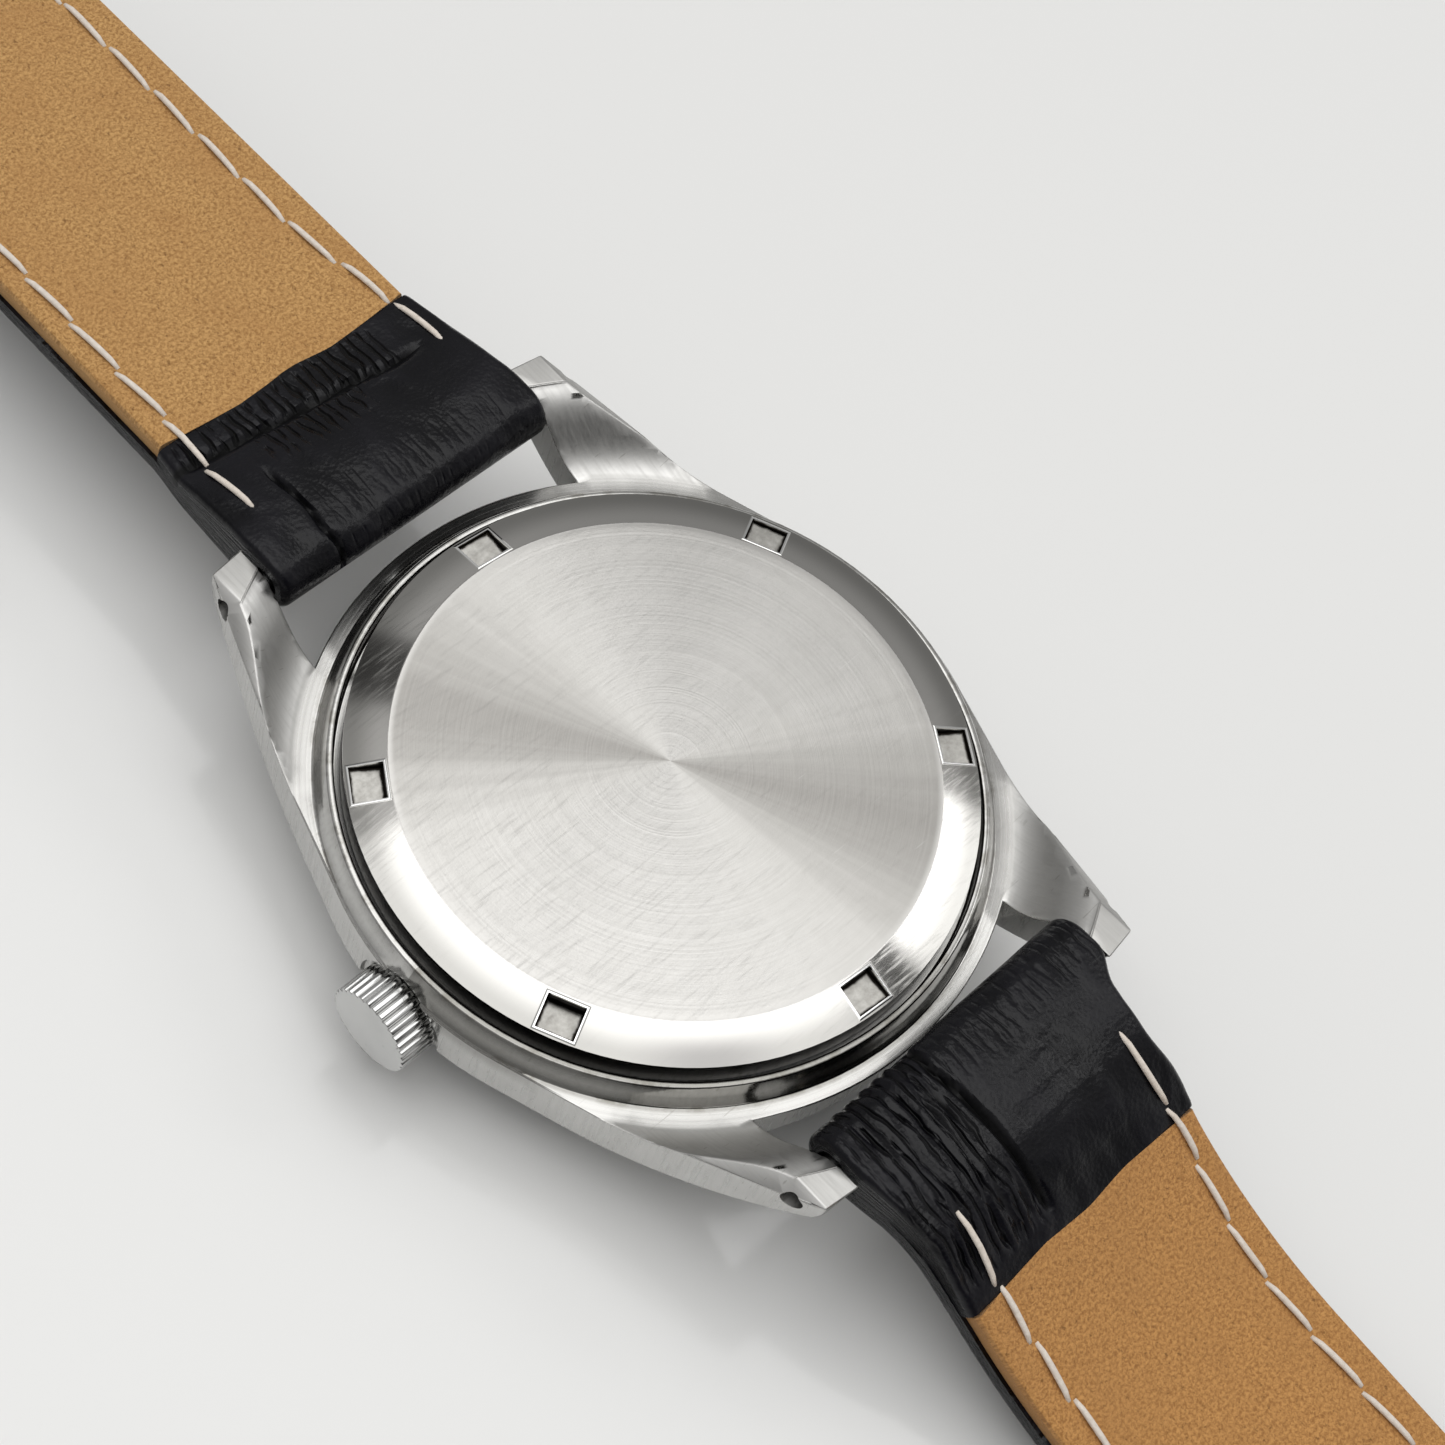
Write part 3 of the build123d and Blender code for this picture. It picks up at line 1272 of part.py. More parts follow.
def strap_12_lining():
    section = band(1, runs_12, leather_thickness, strap_thickness)
    body = across(section) & strap_12_plan()
    return body & block((-strap_end_width, turn_under, 0), (strap_end_width, lining_end_12, strap_top + 1))


def punched(body):
    """The body with the holes for the tongue."""
    for k in range(hole_count):
        body -= cylinder(0, -tip_place + hole_first + k * hole_pitch, -1, strap_top, hole_radius)
    return body


def strap_6_leather():
    return punched(across(leather_section(-1, runs_6)) & strap_6_plan())


def strap_6_lining():
    body = across(band(-1, runs_6, leather_thickness, strap_thickness)) & strap_6_plan()
    room = block((-strap_end_width, -tip_place - 1, -1), (strap_end_width, -turn_under, strap_top + 1))
    return punched(body & room)


def keeper(place):
    """A leather loop round the strap with room below for the other strap."""
    half = strap_buckle_width / 2 + 0.35
    top = end_under + strap_thickness + soft_gap
    bottom = end_under - tail_room
    room = Rectangle(2 * half, top - bottom)
    ring = offset(room, keeper_wall, kind=Kind.ARC) - room
    y = buckle_bar_place - place
    plane = Plane(origin=(0, y - keeper_width / 2, (top + bottom) / 2), x_dir=(-1, 0, 0), z_dir=(0, 1, 0))
    return extrude(plane * ring, keeper_width)


save("strap_12_leather", strap_12_leather())
save("strap_12_lining", strap_12_lining())
save("strap_6_leather", strap_6_leather())
save("strap_6_lining", strap_6_lining())
save("fixed_keeper", keeper(fixed_keeper_place))
save("free_keeper", keeper(free_keeper_place))


# ---- Buckle, modelled level with its bar as origin and then tilted on the bar

def at_buckle(body):
    return Pos(0, buckle_bar_place, buckle_bar_height) * Rot(-buckle_tilt, 0, 0) * body


def buckle_frame():
    """Two side arms with eyes for the bar, joined by the rounded front bar."""
    inner = strap_buckle_width / 2 + 0.25
    outer = inner + buckle_side
    end = buckle_reach + buckle_front / 2
    plan = Rectangle(2 * outer, end + 1.2) - Pos(0, -buckle_front / 2 - 0.1) * Rectangle(
        2 * inner, end + 1.2 - buckle_front + 0.2
    )
    plan = fillet(plan.vertices().sort_by(Axis.Y)[-2:], 2.5)
    body = extrude(Pos(0, end / 2 - 0.6) * plan, buckle_thickness / 2, both=True)
    body = chamfer(body.edges().group_by(Axis.Z)[-1], 0.3)
    body -= cross_bar(0, 0, -outer + 0.5, outer - 0.5, buckle_bar_radius)
    return at_buckle(body)


def buckle_bar():
    half = strap_buckle_width / 2 + 0.25 + buckle_side - 0.5
    return at_buckle(cross_bar(0, 0, -half, half, buckle_bar_radius))


def buckle_tongue():
    """A wire ring round the bar and a tapering prong that rests on the front bar's outer face."""
    ring = cross_bar(0, 0, -tongue_width / 2, tongue_width / 2, tongue_ring_radius)
    prong = Polyline(
        (-tongue_width / 2, 0), (-tongue_width / 2, 5), (-0.6, tongue_end - 0.5), (-0.3, tongue_end),
        (0.3, tongue_end), (0.6, tongue_end - 0.5), (tongue_width / 2, 5), (tongue_width / 2, 0), close=True,
    )
    body = ring + Pos(0, 0, -tongue_under) * extrude(make_face(prong), tongue_thickness)
    return at_buckle(body - cross_bar(0, 0, -5, 5, buckle_bar_radius + running_gap))


save("buckle_frame", buckle_frame())
save("buckle_bar", buckle_bar())
save("buckle_tongue", buckle_tongue())
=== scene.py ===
import bpy, bmesh
from math import copysign, cos, exp, hypot, pi, radians, sin, sqrt
from mathutils import Vector, Matrix, noise


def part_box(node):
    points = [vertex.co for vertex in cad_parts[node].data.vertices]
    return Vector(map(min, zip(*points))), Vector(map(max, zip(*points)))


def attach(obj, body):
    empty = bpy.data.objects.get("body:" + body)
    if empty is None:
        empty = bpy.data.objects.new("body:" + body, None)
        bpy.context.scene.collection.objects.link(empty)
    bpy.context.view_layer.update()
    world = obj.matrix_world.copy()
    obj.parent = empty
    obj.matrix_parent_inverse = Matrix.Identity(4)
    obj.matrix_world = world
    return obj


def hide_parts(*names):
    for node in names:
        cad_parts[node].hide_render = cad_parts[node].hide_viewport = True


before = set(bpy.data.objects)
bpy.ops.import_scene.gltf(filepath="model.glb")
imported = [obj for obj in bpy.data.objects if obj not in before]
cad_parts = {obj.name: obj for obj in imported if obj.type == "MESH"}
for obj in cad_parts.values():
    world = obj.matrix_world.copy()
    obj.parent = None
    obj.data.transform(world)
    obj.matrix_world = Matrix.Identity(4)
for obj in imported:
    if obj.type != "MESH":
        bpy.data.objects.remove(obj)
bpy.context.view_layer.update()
print("stage 1: frame loaded,", len(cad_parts), "nodes")

mm = 0.001  # all lengths are in millimetres until a mesh is finished
scene = bpy.context.scene


# finishes: small helpers

bench = {"tree": None}  # the node tree that is being built


def wire(value, socket):
    if isinstance(value, bpy.types.NodeSocket):
        bench["tree"].links.new(value, socket)
    else:
        socket.default_value = (*value, 1) if socket.type == "RGBA" else value


def addNode(kind, inputs=(), **settings):  # inputs go by place or by name
    node = bench["tree"].nodes.new("ShaderNode" + kind)
    for key, value in settings.items():
        setattr(node, key, value)
    for key, value in dict(inputs).items():
        wire(value, node.inputs[key])
    return node


def makeFinish(recipe, *values, name=None):  # a recipe gives the shader's inputs by name
    material = bpy.data.materials.new(name or recipe.__name__)
    material.use_nodes = True
    bench["tree"] = material.node_tree
    shader = material.node_tree.nodes["Principled BSDF"]
    for key, value in recipe(*values).items():
        wire(value, shader.inputs[key])
    return material


def maths(operation, *values):
    return addNode("Math", enumerate(values), operation=operation).outputs[0]


def times(first, *others):
    for other in others:
        first = maths("MULTIPLY", first, other)
    return first


def plus(first, *others):
    for other in others:
        first = maths("ADD", first, other)
    return first


def minus(first, second):
    return maths("SUBTRACT", first, second)


def unsigned(value):
    return maths("ABSOLUTE", value)


def spread(value, low, high, toLow=0.0, toHigh=1.0, kind="SMOOTHSTEP"):  # map range
    values = enumerate((value, low, high, toLow, toHigh))
    return addNode("MapRange", values, interpolation_type=kind).outputs[0]


def blend(share, first, second):
    return addNode("Mix", {0: share, 6: first, 7: second}, data_type="RGBA").outputs[2]


def place():  # object coordinates in millimetres
    spot = addNode("TexCoord").outputs["Object"]
    return addNode("VectorMath", {0: spot, "Scale": 1 / mm}, operation="SCALE").outputs[0]


def planPlace():  # the piece's own flat plan
    return addNode("UVMap", uv_map="flatPlan").outputs[0]


def attribute(name):
    return addNode("Attribute", attribute_name=name).outputs["Fac"]


def facing(axis):  # how far the surface looks along an axis
    return parts(addNode("TexCoord").outputs["Normal"])[axis]


def moved(vector, offset=(0, 0, 0), scale=(1, 1, 1), turn=0.0):  # turned about the upright axis
    values = {0: vector, "Location": offset, "Scale": scale, "Rotation": (0, 0, turn)}
    return addNode("Mapping", values).outputs[0]


def parts(vector):
    return addNode("SeparateXYZ", {0: vector}).outputs


def joined(x, y, z):
    return addNode("CombineXYZ", {0: x, 1: y, 2: z}).outputs[0]


def grain(vector, scale, detail=3.0, roughness=0.55, distortion=0.0):
    values = {"Vector": vector, "Scale": scale, "Detail": detail, "Roughness": roughness, "Distortion": distortion}
    return addNode("TexNoise", values).outputs[0]


def streaks(vector, scale, detail=3.0, roughness=0.55, distortion=0.0, turn=0.0):  # grain drawn out one way
    return grain(moved(vector, scale=scale, turn=turn), 1.0, detail, roughness, distortion)


def lined(value, density, detail=3.0, roughness=0.55):  # grain that follows one value only
    return grain(joined(times(value, density), 0.0, 0.0), 1.0, detail, roughness)


def cells(vector, scale, feature="F1", randomness=1.0):
    values = {"Vector": moved(vector, scale=scale), "Scale": 1.0, "Randomness": randomness}
    return addNode("TexVoronoi", values, feature=feature).outputs["Distance"]


def relief(height, strength, depth, under=None):  # a negative strength presses in
    values = {"Strength": abs(strength), "Distance": depth * mm, "Height": height}
    if under:
        values["Normal"] = under
    return addNode("Bump", values, invert=strength < 0).outputs[0]


def roundAxis(vector, centre=(0, 0)):  # distance from an upright axis, and the way round it
    x, y = parts(moved(vector, (-centre[0], -centre[1], 0)))[:2]
    radius = maths("SQRT", plus(times(x, x), times(y, y)))
    around = joined(times(y, -1.0), x, 0.0)
    turned = addNode("VectorTransform", {0: around}, vector_type="VECTOR",
            convert_from="OBJECT", convert_to="WORLD").outputs[0]
    return radius, addNode("VectorMath", {0: turned}, operation="NORMALIZE").outputs[0]


# meshes: small helpers

def meshObject(bm, name):
    mesh = bpy.data.meshes.new(name)
    bm.to_mesh(mesh)
    bm.free()
    made = bpy.data.objects.new(name, mesh)
    scene.collection.objects.link(made)
    return made


def inMetres(bm):
    for vert in bm.verts:
        vert.co *= mm
    return bm


def finishPiece(bm, name, material, body, replaced=(), smoothAngle=35):
    piece = meshObject(inMetres(bm), name)
    piece.data.materials.append(material)
    piece.data.shade_smooth()
    piece.data.set_sharp_from_angle(angle=radians(smoothAngle))
    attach(piece, body)
    if replaced:
        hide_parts(*replaced)
    return piece


def flatSlab(columns, rows):  # x from -1 to 1 across, y from 0 to 1 along, z 0 or 1
    bm = bmesh.new()
    bmesh.ops.create_grid(bm, x_segments=columns, y_segments=rows, size=1)
    for vert in bm.verts:
        vert.co.y = (vert.co.y + 1) / 2
    made = bmesh.ops.extrude_face_region(bm, geom=bm.faces[:], use_keep_orig=True)["geom"]
    raised = [item for item in made if isinstance(item, bmesh.types.BMVert)]
    bmesh.ops.translate(bm, verts=raised, vec=(0, 0, 1))
    bmesh.ops.recalc_face_normals(bm, faces=bm.faces[:])
    return bm


def wrapSlab(bm, planOf, placeOf):  # keeps the flat plan as a map
    layer = bm.loops.layers.uv.new("flatPlan")
    for face in bm.faces:
        for loop in face.loops:
            loop[layer].uv = planOf(loop.vert.co)
    for vert in bm.verts:
        vert.co = placeOf(vert.co)
    bmesh.ops.recalc_face_normals(bm, faces=bm.faces[:])


def towardsEdge(share, power):  # columns closer together near both borders
    return copysign(1 - (1 - abs(share)) ** power, share)


def lengthsAlong(spots):  # running length of the outer line of a section
    lengths = [0.0]
    for near, far in zip(spots, spots[1:]):
        lengths.append(lengths[-1] + (far[0] - near[0]).length)
    return lengths


def edgeDrop(distance, radius):  # how far a rounded edge falls at this distance from the border
    inside = min(max(distance / radius, 0), 1)
    return radius * (1 - sqrt(1 - (1 - inside) ** 2))


def between(value, low, high):  # 0 below, 1 above, smooth
    share = min(max((value - low) / (high - low), 0), 1)
    return share * share * (3 - 2 * share)


def dent(distance, width):  # 1 in the middle of a fold, fading out
    return exp(-(distance / width) ** 2)


# camera and table

view = {
    "lens": 74.19, "sensor": 36, "near": 0.005, "far": 20,
    "position": (-66.07, -33.013, 134.891), "azimuth": -64.703, "elevation": 58.316, "roll": 22.94,
}


def makeCamera(values):
    azimuth, elevation, roll = (radians(values[key]) for key in ("azimuth", "elevation", "roll"))
    level = cos(elevation)
    back = Vector((sin(azimuth) * level, -cos(azimuth) * level, sin(elevation)))
    across = (-back).cross(Vector((0, 0, 1))).normalized()
    rise = across.cross(-back)
    right = cos(roll) * across + sin(roll) * rise
    up = -sin(roll) * across + cos(roll) * rise
    data = bpy.data.cameras.new("viewCamera")
    data.lens = values["lens"]
    data.sensor_width = values["sensor"]
    data.clip_start = values["near"]
    data.clip_end = values["far"]
    camera = bpy.data.objects.new("viewCamera", data)
    turn = Matrix((right, up, back)).transposed().to_4x4()
    camera.matrix_world = Matrix.Translation(Vector(values["position"]) * mm) @ turn
    scene.collection.objects.link(camera)
    scene.camera = camera


table = {"size": 3.0, "colour": (0.8, 0.8, 0.79), "roughness": 0.12, "ior": 1.45}  # size in metres


def whiteGloss():
    return {"Base Color": table["colour"], "Roughness": table["roughness"], "IOR": table["ior"]}


def makeTable():
    bm = bmesh.new()
    bmesh.ops.create_grid(bm, x_segments=1, y_segments=1, size=table["size"])
    floor = meshObject(bm, "whiteTable")
    floor.data.materials.append(makeFinish(whiteGloss))


lamps = {  # places and sizes in metres
    "overhead": {"place": (0.0, 0.0, 0.7), "size": (0.74, 0.74), "power": 2.75},
    "side": {"place": (0.52, -0.2, 0.575), "size": (0.26, 0.2), "power": 0.38},
}


def makeLamp(name, values):
    data = bpy.data.lights.new(name, "AREA")
    data.shape = "RECTANGLE"
    data.size, data.size_y = values["size"]
    data.energy = values["power"]
    lamp = bpy.data.objects.new(name, data)
    spot = Vector(values["place"])
    lamp.matrix_world = Matrix.Translation(spot) @ (-spot).to_track_quat("-Z", "Y").to_matrix().to_4x4()
    scene.collection.objects.link(lamp)


room = {
    "low": 0.34, "high": 0.72, "under": 0.75, "colour": (1.0, 0.995, 0.985),
    "rise": (0.35, 0.95), "fall": (-0.1, -0.4),  # heights over which it brightens upwards and downwards
    "patches": [  # azimuth, elevation, soft edge, full, share of the light
        (74, 46, 0.9955, 0.9985, 0.14), (-35, 56, 0.9955, 0.9985, 0.08),
        (-29, 4, 0.8, 0.95, 2.0), (-109, 21, 0.8, 0.96, 0.15),
    ],
}


def makeRoom(values):
    world = scene.world or bpy.data.worlds.new("room")
    scene.world = world
    world.use_nodes = True
    bench["tree"] = world.node_tree
    ground = world.node_tree.nodes["Background"]
    direction = addNode("TexCoord").outputs["Generated"]
    height = parts(direction)[2]
    light = spread(height, *values["rise"], values["low"], values["high"])
    light = maths("MAXIMUM", light, spread(height, *values["fall"], 0.0, values["under"]))
    for azimuth, elevation, edge, full, share in values["patches"]:
        az, el = radians(azimuth), radians(elevation)
        middle = (cos(az) * cos(el), sin(az) * cos(el), sin(el))
        near = addNode("VectorMath", {0: direction, 1: middle}, operation="DOT_PRODUCT").outputs["Value"]
        light = times(light, spread(near, edge, full, 1.0, share))
    wire(values["colour"], ground.inputs["Color"])
    wire(light, ground.inputs["Strength"])


makeCamera(view)
makeTable()
for name, values in lamps.items():
    makeLamp(name, values)
makeRoom(room)
scene.view_settings.view_transform = "Standard"
print("stage 2: camera, table and light")


# leather, lining and thread

leatherLook = {
    "dark": (0.0012, 0.0012, 0.0022), "light": (0.0042, 0.004, 0.0064),
    # the two darkest colours are painted shade: in the scale grooves and in the pressed creases and folds
    "groove": (0.0006, 0.0006, 0.0008), "hollow": (0.0004, 0.0004, 0.0005),
    "scalesFrom": (12.5, 16.0),  # along the plan, where the pressed scales of the outer side start
    "folds": 5.2, "foldDrift": 6.0, "rough": (0.17, 0.29), "hollowRough": 0.35, "specular": 0.22,
}


def blackLeather():
    look = leatherLook
    plan = planPlace()
    across, along = parts(plan)[:2]
    scales = cells(plan, (0.26, 0.34, 1), "DISTANCE_TO_EDGE", 0.6)
    outerSide = spread(along, *look["scalesFrom"])
    grooves = maths("MAXIMUM", spread(scales, 0.0, 0.09), minus(1.0, outerSide))
    drift = times(streaks(plan, (0.7, 0.3, 1), 2.0), look["foldDrift"])
    fold = unsigned(maths("SINE", plus(times(across, look["folds"]), drift)))
    broken = spread(streaks(plan, (2.2, 0.6, 1), 2.0), 0.34, 0.52)
    folds = times(spread(fold, 0.8, 0.0), broken, attribute("ribbed"))
    wrinkles = streaks(plan, (0.9, 0.5, 1), 3.0, 0.55, 0.4)
    swells = streaks(plan, (0.3, 0.22, 1), 2.0, 0.5, 0.4)
    pores = cells(plan, (4.2, 4.2, 1))
    fine = streaks(plan, (5, 5, 1))
    hollow = maths("MINIMUM", plus(attribute("pressed"), folds), 1.0)
    colour = blend(spread(swells, 0.3, 0.7), look["dark"], look["light"])
    # painted shade: darker along the pressed scale grooves
    colour = blend(grooves, look["groove"], colour)
    # painted shade: darker in the pressed creases and folds
    colour = blend(hollow, colour, look["hollow"])
    rough = plus(spread(swells, 0.35, 0.65, *look["rough"]), spread(fine, 0.4, 0.7, 0.0, 0.1))
    rough = plus(rough, times(hollow, look["hollowRough"]))
    bump = None
    for height, strength, depth in ((grooves, 0.7, 0.16), (swells, 0.6, 0.7), (wrinkles, 0.16, 0.2),
            (folds, -1.0, 0.42), (pores, 0.3, 0.05), (fine, 0.35, 0.04)):
        bump = relief(height, strength, depth, bump)
    return {"Base Color": colour, "Roughness": rough, "Normal": bump, "Specular IOR Level": look["specular"]}


suedeLook = {
    "patch": (0.4, 0.2, 0.068), "speck": (0.17, 0.078, 0.024), "rough": 0.92, "specular": 0.2, "sheen": 0.15,
    "tan": {"dark": (0.3, 0.15, 0.047), "light": (0.6, 0.35, 0.134)},
    "brown": {"dark": (0.3, 0.135, 0.04), "light": (0.58, 0.3, 0.1)},
}


def suede(shade):
    look = suedeLook
    plan = planPlace()
    nap = streaks(plan, (5.5, 5.5, 1), 4.0, 0.7, 0.4)
    patches = streaks(plan, (0.25, 0.18, 1))
    specks = streaks(plan, (2.8, 2.2, 1), 5.0, 0.75)
    colour = blend(spread(nap, 0.32, 0.66), look[shade]["dark"], look[shade]["light"])
    colour = blend(spread(patches, 0.35, 0.75, 0, 0.4), colour, look["patch"])
    colour = blend(spread(specks, 0.58, 0.66, 0, 0.75), colour, look["speck"])
    bump = relief(specks, 0.4, 0.1, relief(nap, 0.5, 0.12))
    return {"Base Color": colour, "Roughness": look["rough"], "Specular IOR Level": look["specular"],
            "Sheen Weight": look["sheen"], "Normal": bump}


threadLook = {"shade": (0.52, 0.44, 0.36), "light": (0.92, 0.86, 0.79), "rough": 0.8}


def threadCotton():
    twist = streaks(place(), (3, 3, 3), 4.0, 0.7)
    return {"Base Color": blend(twist, threadLook["shade"], threadLook["light"]),
            "Roughness": threadLook["rough"], "Normal": relief(twist, 0.6, 0.08)}


leatherFinish = makeFinish(blackLeather)
suede12 = makeFinish(suede, "tan", name="tanSuede")
suede6 = makeFinish(suede, "brown", name="brownSuede")
threadFinish = makeFinish(threadCotton)
print("stage 3: soft materials")


# strap halves: reach is the distance from the watch's middle

strap = {
    "leave": 23.3, "under": 8.3,  # where the underside starts
    "leather": 1.2, "whole": 2.2, "edgeRound": 0.4,
    "border": 28.5,  # the turned-under leather ends here
    "barReach": 19.76, "barHeight": 10.0, "loop": 1.6, "bore": 0.95,
    "flapTop": 3.3, "flapFall": 1.1, "flapSwell": 0.18,
    "flapRows": 34, "loopRows": 26, "creasedRows": 14, "underRows": 10,
    "columns": 124, "crowding": 1.2,  # columns stand closer together near the borders
    "mirror": 39.5,  # folds the loop's reach back onto the flap
    "otherSide": 40,  # room between the two sides on the flat plan
    "holes": 7, "firstHole": 72.26, "holePitch": 6.5, "holeRadius": 0.9,
}
half12 = {  # towards 12 o'clock
    "side": 1, "body": "strap_12", "tuck": 0.1, "buckleBar": 99.1, "buckleHeight": 4.45,
    "rows": (1.5, 1.1), "spread": 1.0, "starts": (22.7, 24.9), "seamEnd": 92.6,  # seams: from the border, and reach
    "runs": [(29.6, 0), (8, -17), (8.87, 0), (8, 17), (22, 0)],  # length, and turn in degrees
    "widths": [(21.5, 8.85), (26.5, 8.6), (28.5, 8.3), (100.6, 8.0)],  # reach, half the width
}
half6 = {
    "side": -1, "body": "strap_6", "tuck": 0.75, "tip": 138.26,
    "rows": (2.0, 1.4), "spread": 0.7, "starts": (24.6, 23.9), "seamEnd": 127.26,
    "runs": [(3, -33), (2, 0), (14.14, 27), (14.2, 0), (3, 6), (90, 0)],
    "widths": [(21.2, 8.85), (23.5, 8.5), (26.5, 8.3), (28.5, 8.2), (126.3, 7.8)],
}
buckleLoop = {
    "outer": 1.5, "bore": 0.9, "rows": 22, "before": 3, "back": 6.0, "backRows": 8,
    "top": 5.55, "topRise": 0.4, "under": 4.55, "underRise": 0.8, "slot": (3.0, 8.0, 12.0), "slotMiddle": 4.0,
}
liningForm = {
    "inset": 0.22, "start": 0.35, "bow": 0.5, "lift": 0.03, "columns": 56, "crowding": 1.3, "spacing": 0.8,
    "edgeRound": 0.3, "endRound": 0.12, "seamDepth": 0.13, "seamWidth": 0.38,
}
stitches = {"length": 3.45, "pitch": 3.6, "thick": 0.155, "slant": 0.13, "clear": 1.5}
creases = {  # where each fold lies, how deep and wide it is, and where it fades out
    "cross": {"at": 25.95, "depth": 0.42, "width": 0.26, "ends": [(7.2, 5.0)]},
    "beside": {"at": -0.9, "depth": 0.1, "width": 0.5, "ends": [(6.0, 3.0)]},
    "long": {"at": -5.1, "depth": 0.34, "width": 0.18, "ends": [(24.8, 23.4)]},
    "middle": {"at": -2.2, "depth": 0.45, "width": 0.2},
    "nextMiddle": {"at": -0.55, "depth": 0.14, "width": 0.35},
    "upper": {"at": 24.1, "depth": 0.12, "width": 0.16, "ends": [(6.5, 4.5), (-1.5, 0.0)]},
    "lower": {"at": 22.3, "depth": 0.08, "width": 0.14, "ends": [(7.5, 5.5), (-0.5, 1.0)]},
    "fine": {"depth": 0.24, "pitch": 0.86, "sharp": 3.0, "waviness": 0.05},
}


def followRuns(runs, distance):  # reach, height and heading on the underside
    reach, height, heading = strap["leave"], strap["under"], 0.0
    if distance < 0:
        return reach + distance, height, heading
    for length, turn in runs:
        part = min(distance, length)
        swing = radians(turn) * part / length
        if turn:
            bend = length / radians(turn)
            reach += bend * (sin(heading + swing) - sin(heading))
            height += bend * (cos(heading) - cos(heading + swing))
        else:
            reach += part * cos(heading)
            height += part * sin(heading)
        heading += swing
        distance -= part
        if distance <= 0:
            break
    return reach, height, heading


def lifted(half, distance, lift):  # a spot in the section, this far above the underside
    reach, height, heading = followRuns(half["runs"], distance)
    return Vector((reach - lift * sin(heading), height + lift * cos(heading)))


def distanceAt(half, reach, halvings=40):
    low, high = -5.0, 140.0
    for halving in range(halvings):
        middle = (low + high) / 2
        if followRuns(half["runs"], middle)[0] < reach:
            low = middle
        else:
            high = middle
    return low


def halfWidth(half, reach):
    widths = half["widths"]
    if reach <= widths[0][0]:
        return widths[0][1]
    for (near, first), (far, second) in zip(widths, widths[1:]):
        if reach <= far:
            return first + (second - first) * (reach - near) / (far - near)
    if "tip" not in half:
        return widths[-1][1]
    share = min((reach - widths[-1][0]) / (half["tip"] - widths[-1][0]), 0.9985)  # the pointed end
    return widths[-1][1] * (1 - share ** 1.9) ** 0.62


def flapHeight(reach):  # of the turned-under leather above the underside
    form = strap
    share = (reach - form["barReach"]) / (form["border"] - form["barReach"])
    swell = form["flapSwell"] * sin(pi * min(share * 1.3, 1))
    return form["flapTop"] - form["flapFall"] * between(share, -0.02, 1.05) + swell


def loopSection(reach, height, radius, bore, first, last, steps):
    spots = []
    for step in range(steps + 1):
        angle = radians(first + (last - first) * step / steps)
        way = Vector((cos(angle), sin(angle)))
        spots.append((Vector((reach, height)) + radius * way, Vector((reach, height)) + bore * way))
    return spots


def leatherSection(half):  # pairs of outer and inner spots along the leather, from its turned-under border
    form = strap
    bar = form["barReach"]
    spots = []
    for step in range(form["flapRows"]):  # from the border back to the bar
        reach = form["border"] - 0.02 + (bar - form["border"]) * step / form["flapRows"]
        inner = form["leather"] + 1.45 * between(reach, 21.6, bar)
        distance = reach - form["leave"]
        spots.append((lifted(half, distance, flapHeight(reach)), lifted(half, distance, inner)))
    spots += loopSection(bar, form["barHeight"], form["loop"], form["bore"], 90, 270, form["loopRows"])
    for step in range(1, form["underRows"]):  # the underside next to the bar
        reach = bar + (form["leave"] - bar) * step / form["underRows"]
        outer = form["under"] + 0.1 * between(reach, 22.5, bar)
        inner = form["under"] + form["leather"] - 0.45 * between(reach, 21.6, bar)
        spots.append((Vector((reach, outer)), Vector((reach, inner))))
    return spots


def sectionTo(half, spots, last, spacing):
    count = int(last / spacing)
    for step in range(count + 1):
        distance = last * step / count
        spots.append((lifted(half, distance, 0), lifted(half, distance, strap["leather"])))


def band(value, *ends):  # 1 between its ends, smooth
    share = 1.0
    for low, high in ends:
        share *= between(value, low, high)
    return share


def crease(name, distance, along):
    fold = creases[name]
    return fold["depth"] * dent(distance, fold["width"]) * band(along, *fold.get("ends", []))


def creases12(x, reach, wave):  # single folds, fine ribs, close folds
    across = reach - creases["cross"]["at"] + 0.1 * x - 0.25 * wave
    along = x - creases["long"]["at"] - 0.04 * (reach - 22) - 0.3 * wave
    depth = crease("cross", across, x) + crease("long", along, reach)
    depth += crease("beside", across - creases["beside"]["at"], x)
    ribs = band(across, (0.0, 0.3)) * band(x, (5.5, 4.0), (-8.2, -7.2))  # up to the border
    ribs += 0.8 * band(across, (-0.2, -0.5), (-2.6, -1.4)) * band(x, (2.5, 1.0), (-4.6, -3.6))  # past the fold
    ribs += 0.05 * band(across, (-4.2, -4.8)) * band(x, (8.0, 6.5), (-5.0, -4.0))  # round the bar
    return depth, ribs, 0.0


def creases6(x, reach, wave, bend):
    along = x - creases["middle"]["at"] - 0.08 * (reach - 23.5) - 0.25 * wave
    depth = crease("middle", along, x) + crease("nextMiddle", along - creases["nextMiddle"]["at"], x)
    depth += crease("upper", reach - creases["upper"]["at"] - 0.05 * x - 0.3 * bend, x)
    depth += crease("lower", reach - creases["lower"]["at"] + 0.03 * x + 0.3 * wave, x)
    ribs = 0.5 * band(along, (-0.3, -0.6)) * band(x, (-8.6, -8.0)) + 0.15 * band(reach, (21.4, 20.4))
    fine = creases["fine"]
    slant = x + 0.1 * (reach - 24) + 0.5 * wave + 0.25 * bend + 0.35 * noise.noise(Vector((x * 0.5, 3, -1)))
    valleys = abs(cos(pi * slant / fine["pitch"])) ** fine["sharp"]  # narrow, with broad ribs between
    folds = fine["depth"] * band(along, (-0.5, -1.0)) * band(x, (-8.4, -7.4)) * valleys
    return depth, ribs, folds * min(max(0.65 + 0.9 * bend, 0.15), 1.1)


